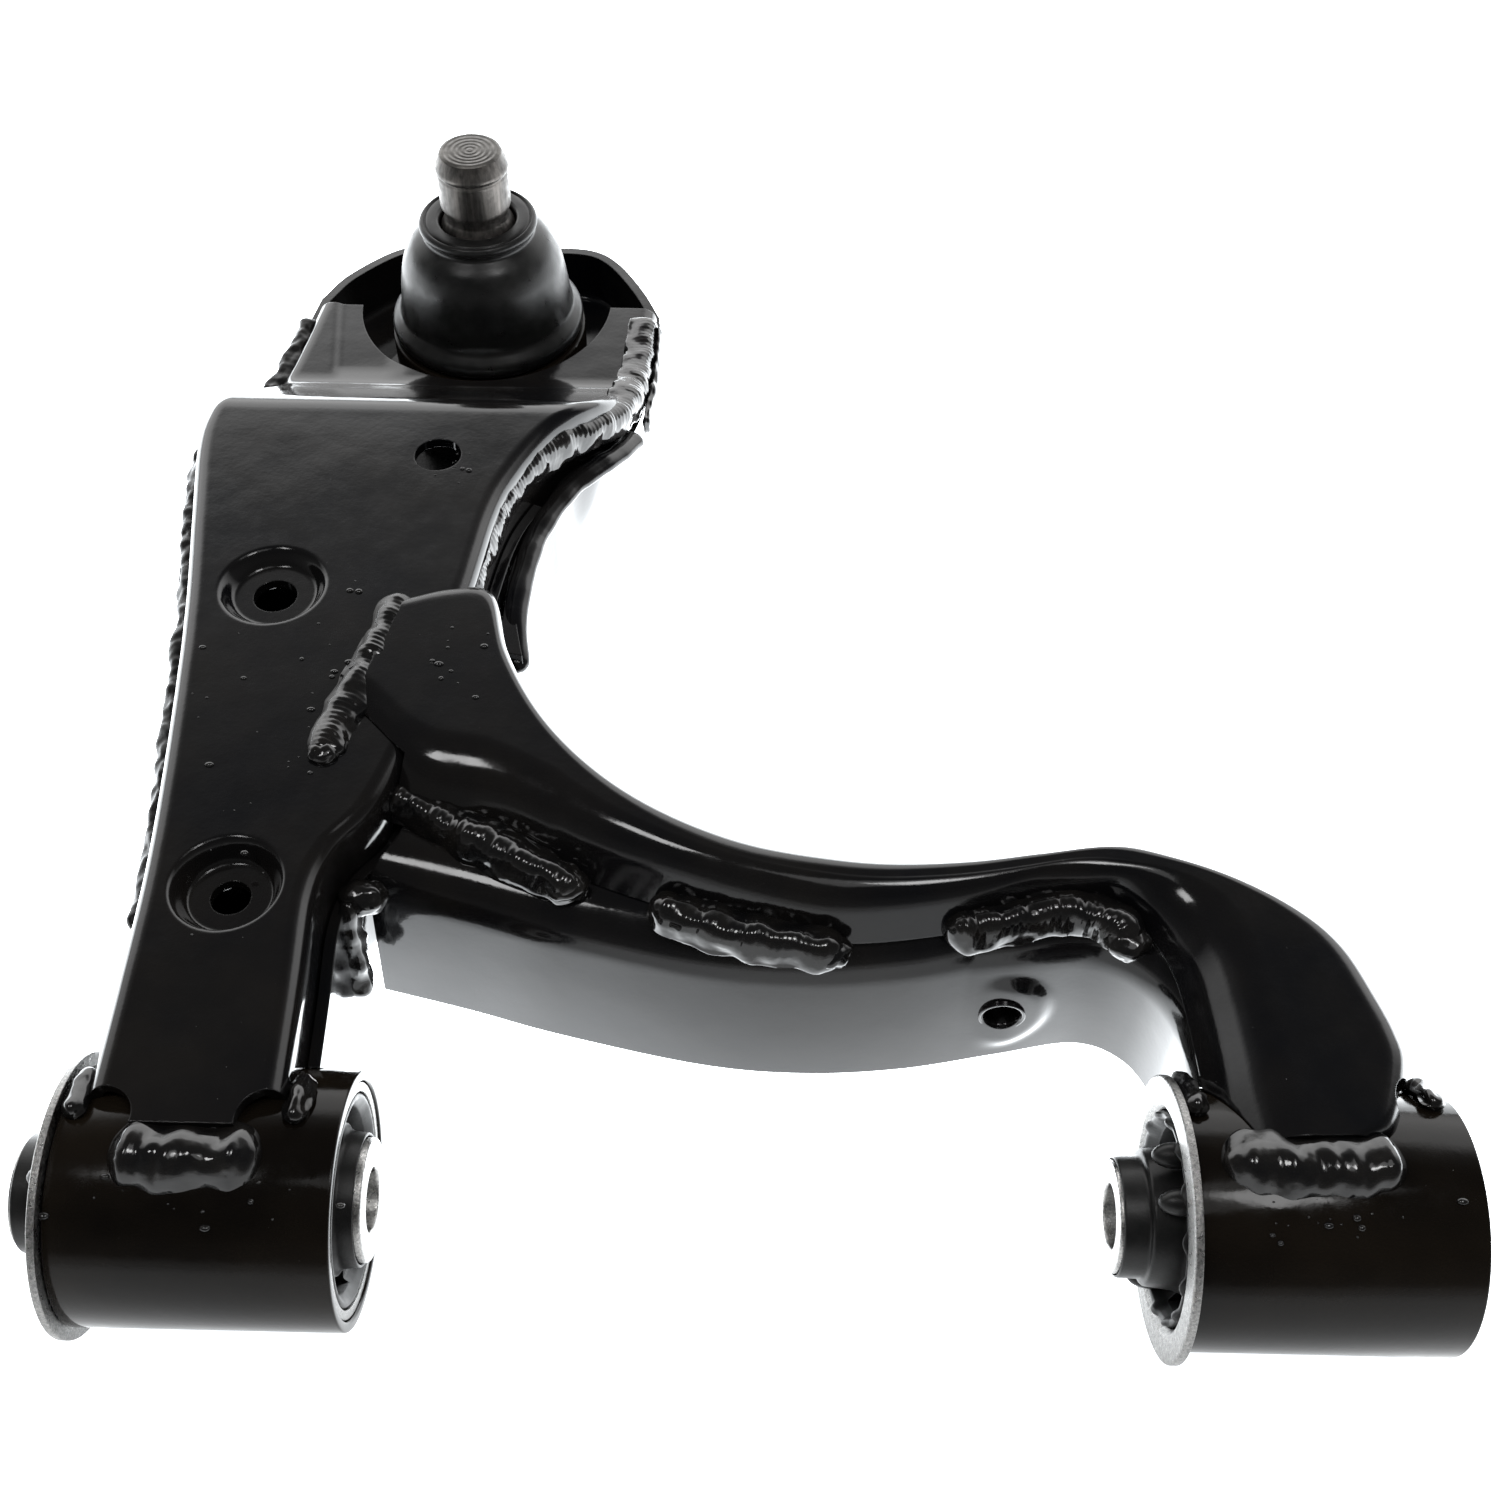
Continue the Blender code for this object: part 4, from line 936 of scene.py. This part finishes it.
def welds():
    bead("left_seam_bead", seam_path(LEFT_WALL, -1, 2.3, 60, 246, 1.0, -0.6), 7.0, 8.0, ["left_seam_weld"], 1,
         pitch=3.4, rough=1.7, flat=1.0, material=DULL_WELD)
    bead("left_flap_bead", seam_path(LEFT_WALL, -1, 2.3, 282, 324), 7.0, 6.0, ["left_flap_weld"], 2, pitch=3.0,
         rough=1.9, flat=1.0, material=DULL_WELD)
    right = ((73.0, 174, 25.6), (74.6, 186, 25.6), (77.0, 203, 25.8), (82.2, 221, 25.8), (90.2, 235.5, 25.4),
             (100, 247.5, 22.8), (109.6, 262, 17), (114.3, 280, 11.8), (116.4, 298, 10), (117.4, 316, 9.6),
             (117.8, 321, 9.4))
    sunk = Vector((0.8, -0.4, 0.9))
    bead("right_seam_bead", [p - sunk for p in smooth_line(right, 6)], 13.0, 10.2, ["right_seam_weld"], 3,
         side=(0.62, -0.34, 0.7), pitch=1.7, rough=0.9, ends=0.35)
    leg = ((88.2, 160.4, 7.0), (87.2, 168, 9.4), (86.2, 180, 11.5), (87.2, 196, 12.2), (90, 214, 12.2),
           (97.6, 233, 12.0), (106, 245, 11.2), (112, 254, 9.2), (117, 266, 6.0))
    bead("carrier_leg_rim", smooth_line(leg, 6), 7.2, 4.6, [], 4, side=(0.1, -0.1, 1), pitch=400,
         rough=0.15, ends=0.5, flat=1.0, material=PAINT)
    fin = ((119.6, 272, 4.6), (120.8, 290, 5.2), (121.6, 306, 6.4), (121.9, 318, 8.4))
    bead("right_flap_fin", smooth_line(fin, 6), 2.6, 6.4, [], 5, pitch=4.4, rough=2.2, flat=1.0)
    stitches = (((60.5, 105.6), (70, 98.8), (80, 92.6), (91, 86.2), (103, 79.6), (114, 73.6)),
                ((131, 70.4), (144, 65.2), (158, 60.9), (169, 58.6), (180, 57.6)),
                ((204, 64.0), (218, 67.2), (231, 70.4), (241, 70.4), (247.6, 66.4), (251, 59.4)))
    for number, path in enumerate(stitches, 1):
        line = [(p.x, p.y, SEAM + 2.0) for p in smooth_line(path, 8)]
        bead(f"stitch_bead_{number}", line, 12.6, 11.6, [f"brace_stitch_weld_{number}"], 10 + number,
             side=(0, -0.45, 0.85), pitch=2.2, rough=0.9, ends=0.55)
        end = Vector(line[-4])
        blob(f"stitch_blob_{number}", end, (5.8, 5.0, 3.8), 60 + number)
    foot = (Vector((46, 106)), Vector((60, 164)))
    off = Vector((-(foot[1] - foot[0]).y, (foot[1] - foot[0]).x)).normalized() * 1.6
    tongue = [foot[0].lerp(foot[1], t / 16) + off for t in range(17)]
    bead("tongue_bead", [(p.x, p.y, PLATE_TOP - 0.4) for p in tongue], 12.0, 8.4, ["tongue_weld"], 21, pitch=1.6,
         rough=1.2, ends=0.35)
    blob("tongue_drop", (45.2, 107.6, PLATE_TOP + 0.4), (4.2, 3.6, 2.6), 64)
    for side, x_start, x_end, front_y in (("left", 15, 49.5, -3.4), ("right", 261.5, 303, 0.2)):
        up = math.sqrt((HOUSING_R - 1.5) ** 2 - front_y ** 2)
        path = [(x_start + (x_end - x_start) * i / 24, front_y - 1.6 * math.sin(math.pi * i / 24), up)
                for i in range(25)]
        bead(f"{side}_bush_top_bead", path, 16.0, 12.4, [f"{side}_bush_top_weld"], 30 + int(x_start),
             side=(0, -0.35, 0.92), pitch=4.6, rough=0.9, ends=0.45)
    for name, x, start, end, seed in (("left_bush_outer", 5.4, 6, 34, 41),
                                      ("left_bush_inner", 55.0, 6, 34, 42),
                                      ("right_bush_inner", 258.9, 22, 64, 43),
                                      ("right_bush_outer", 314.0, 30, 68, 44)):
        bead(f"{name}_side_bead", round_bush(x, start, end, 2.4), 5.6, 5.2, [f"{name}_side_weld"], seed,
             side=(0, 0.5, 0.85), pitch=3.4, rough=1.9)
    corner = [(54.4, 64.6 + LEAN * t, -14 + 32 * t) for t in (0, 0.15, 0.35, 0.55, 0.75, 0.9, 1)]
    bead("brace_corner_bead", corner, 7.6, 6.0, ["brace_corner_weld"], 51, side=(0.7, -0.7, 0.1),
         pitch=5.0, rough=1.9)
    blob("brace_corner_lump", (57.6, 75.0, 15.6), (6.4, 5.0, 4.4), 65)


def blob(name, centre, size, seed):
    """A lump of weld metal where a bead stops."""
    shift = Vector((seed * 7.3, 0, 0))
    bm = bmesh.new()
    bmesh.ops.create_icosphere(bm, subdivisions=4, radius=1.0)
    for vertex in bm.verts:
        swell = 1 + 0.17 * noise.noise(vertex.co * 1.7 + shift) + 0.05 * noise.noise(vertex.co * 5.1 + shift)
        vertex.co = Vector(centre) + Vector([v * k for v, k in zip(vertex.co, size)]) * swell
    piece(name, bm, WELD, sharp=80)


def all_spatter():
    def on_plate(_, y):
        return plate_height(y)

    def on_flat(x, y):
        return PLATE_TOP if 6 < x < 44 and 40 < y < 150 else None

    def on_brace(x, y):
        return BRACE_TOP if 66 < x < 86 and 118 < y < 156 else None

    def on_tube(_, y):
        return math.sqrt(HOUSING_R ** 2 - y * y) if abs(y) < 26 else None

    spatter("spatter_by_plain_hole", (66, 218, 0), (3, 4), 12, 71, on_plate)
    spatter("spatter_by_tongue", (42, 128, 0), (5, 22), 22, 72, on_plate)
    spatter("spatter_on_plate", (22, 120, 0), (9, 60), 20, 73, on_flat)
    spatter("spatter_on_brace", (76, 132, 0), (6, 12), 16, 74, on_brace)
    for side, x in (("left", 30), ("right", 282)):
        spatter(f"spatter_on_{side}_bush", (x, -13, 0), (14, 2.5), 16, 75 + x, on_tube)


# Build everything, then the studio.

main_arm_upper()
main_arm_lower()
ball_joint_carrier()
brace_upper()
brace_lower()
bush("left", 0.0)
bush("right", BUSH_PITCH)
ball_joint()
welds()
all_spatter()


def studio_floor():
    """A pale floor that glows like a light table, most of all under and behind the object."""
    material = bpy.data.materials.new("studio_floor")
    material.use_nodes = True
    tree = material.node_tree
    shader = tree.nodes["Principled BSDF"]
    shader.inputs["Roughness"].default_value = 0.9
    shader.inputs["Base Color"].default_value = (0.9, 0.9, 0.9, 1)
    spot = tree.nodes.new("ShaderNodeTexCoord")
    split = tree.nodes.new("ShaderNodeSeparateXYZ")
    tree.links.new(spot.outputs["Object"], split.inputs["Vector"])
    across = tree.nodes.new("ShaderNodeMapRange")
    across.inputs["From Min"].default_value = -0.30
    across.inputs["From Max"].default_value = 0.30
    tree.links.new(split.outputs["Y"], across.inputs["Value"])
    stops = ((0.0, 0.0), (0.17, 0.01), (0.25, 0.40), (0.32, 1.0), (0.55, 0.8), (1.0, 0.6))
    glow = colour_ramp(tree, across.outputs["Result"], stops)
    strength = tree.nodes.new("ShaderNodeMath")
    strength.operation = "MULTIPLY_ADD"
    strength.inputs[1].default_value = 7.0
    strength.inputs[2].default_value = 0.78
    tree.links.new(glow, strength.inputs[0])
    shader.inputs["Emission Color"].default_value = (0.93, 0.97, 1.0, 1)
    tree.links.new(strength.outputs[0], shader.inputs["Emission Strength"])
    bm = bmesh.new()
    bmesh.ops.create_grid(bm, x_segments=2, y_segments=2, size=6.0)
    mesh = bpy.data.meshes.new("studio_floor")
    bm.to_mesh(mesh)
    bm.free()
    mesh.materials.append(material)
    floor = bpy.data.objects.new("studio_floor", mesh)
    floor.location.z = -0.0006
    bpy.context.scene.collection.objects.link(floor)


def softbox(name, spot, target, size, power, glossy=True):
    data = bpy.data.lights.new(name, "AREA")
    data.shape = "RECTANGLE"
    data.size, data.size_y = size
    data.energy = power
    light = bpy.data.objects.new(name, data)
    light.location = spot
    light.rotation_mode = "QUATERNION"
    light.rotation_quaternion = (Vector(target) - Vector(spot)).to_track_quat("-Z", "Y")
    light.visible_glossy = glossy
    bpy.context.scene.collection.objects.link(light)


def studio():
    """Walls that are bright behind the object and dark in front of it, and four soft lights."""
    studio_floor()
    world = bpy.data.worlds.new("studio")
    bpy.context.scene.world = world
    world.use_nodes = True
    tree = world.node_tree
    background = tree.nodes["Background"]
    direction = tree.nodes.new("ShaderNodeTexCoord")
    split = tree.nodes.new("ShaderNodeSeparateXYZ")
    tree.links.new(direction.outputs["Generated"], split.inputs["Vector"])
    height = split.outputs["Z"]
    behind = colour_ramp(tree, height, ((0.0, 0.14), (0.08, 0.3), (0.2, 0.42), (0.55, 0.46), (0.615, 0.25),
                                        (0.66, 0.085), (0.8, 0.02), (0.9, 0.012), (1.0, 0.012)))
    before = colour_ramp(tree, height, ((0.0, 0.13), (0.06, 0.12), (0.16, 0.03), (0.5, 0.014), (1.0, 0.014)))
    side = tree.nodes.new("ShaderNodeMapRange")
    side.inputs["From Min"].default_value = 0.2
    side.inputs["From Max"].default_value = 0.62
    tree.links.new(split.outputs["Y"], side.inputs["Value"])
    blend = tree.nodes.new("ShaderNodeMix")
    blend.data_type = "RGBA"
    tree.links.new(side.outputs["Result"], blend.inputs[0])
    tree.links.new(before, blend.inputs[6])
    tree.links.new(behind, blend.inputs[7])
    tree.links.new(blend.outputs[2], background.inputs["Color"])
    background.inputs["Strength"].default_value = 8.0
    softbox("overhead", (0, 0, 2.2), (0, 0, 0), (2.2, 2.2), 14, glossy=False)
    softbox("top_strip", (0.3, -0.3, 1.6), (0, 0, 0), (1.1, 0.5), 3)
    softbox("left_box", (-0.53, -0.33, 1.3), (-0.09, 0.16, 0.05), (0.24, 0.3), 4)
    softbox("right_box", (0.35, -0.33, 1.3), (-0.09, 0.16, 0.05), (0.24, 0.3), 4)


def camera():
    """The photograph's view: a lens about 43 mm long, 50 degrees above the horizon."""
    yaw, pitch, roll = -0.0055, 0.8821, 0.0172
    forward = Vector((math.sin(yaw) * math.cos(pitch), math.cos(yaw) * math.cos(pitch), -math.sin(pitch)))
    level = Vector((math.cos(yaw), -math.sin(yaw), 0))
    above = level.cross(forward)
    right = math.cos(roll) * level + math.sin(roll) * above
    up = -math.sin(roll) * level + math.cos(roll) * above
    data = bpy.data.cameras.new("camera")
    data.sensor_width = 36
    data.lens = 43.157
    data.shift_x = 0.0089
    data.clip_start = 0.01
    view = bpy.data.objects.new("camera", data)
    turn = Matrix((right, up, -forward)).transposed().to_4x4()
    view.matrix_world = Matrix.Translation(place((153.70, -185.50, 394.60))) @ turn
    bpy.context.scene.collection.objects.link(view)
    bpy.context.scene.camera = view


studio()
camera()
bpy.context.scene.view_settings.view_transform = "Standard"
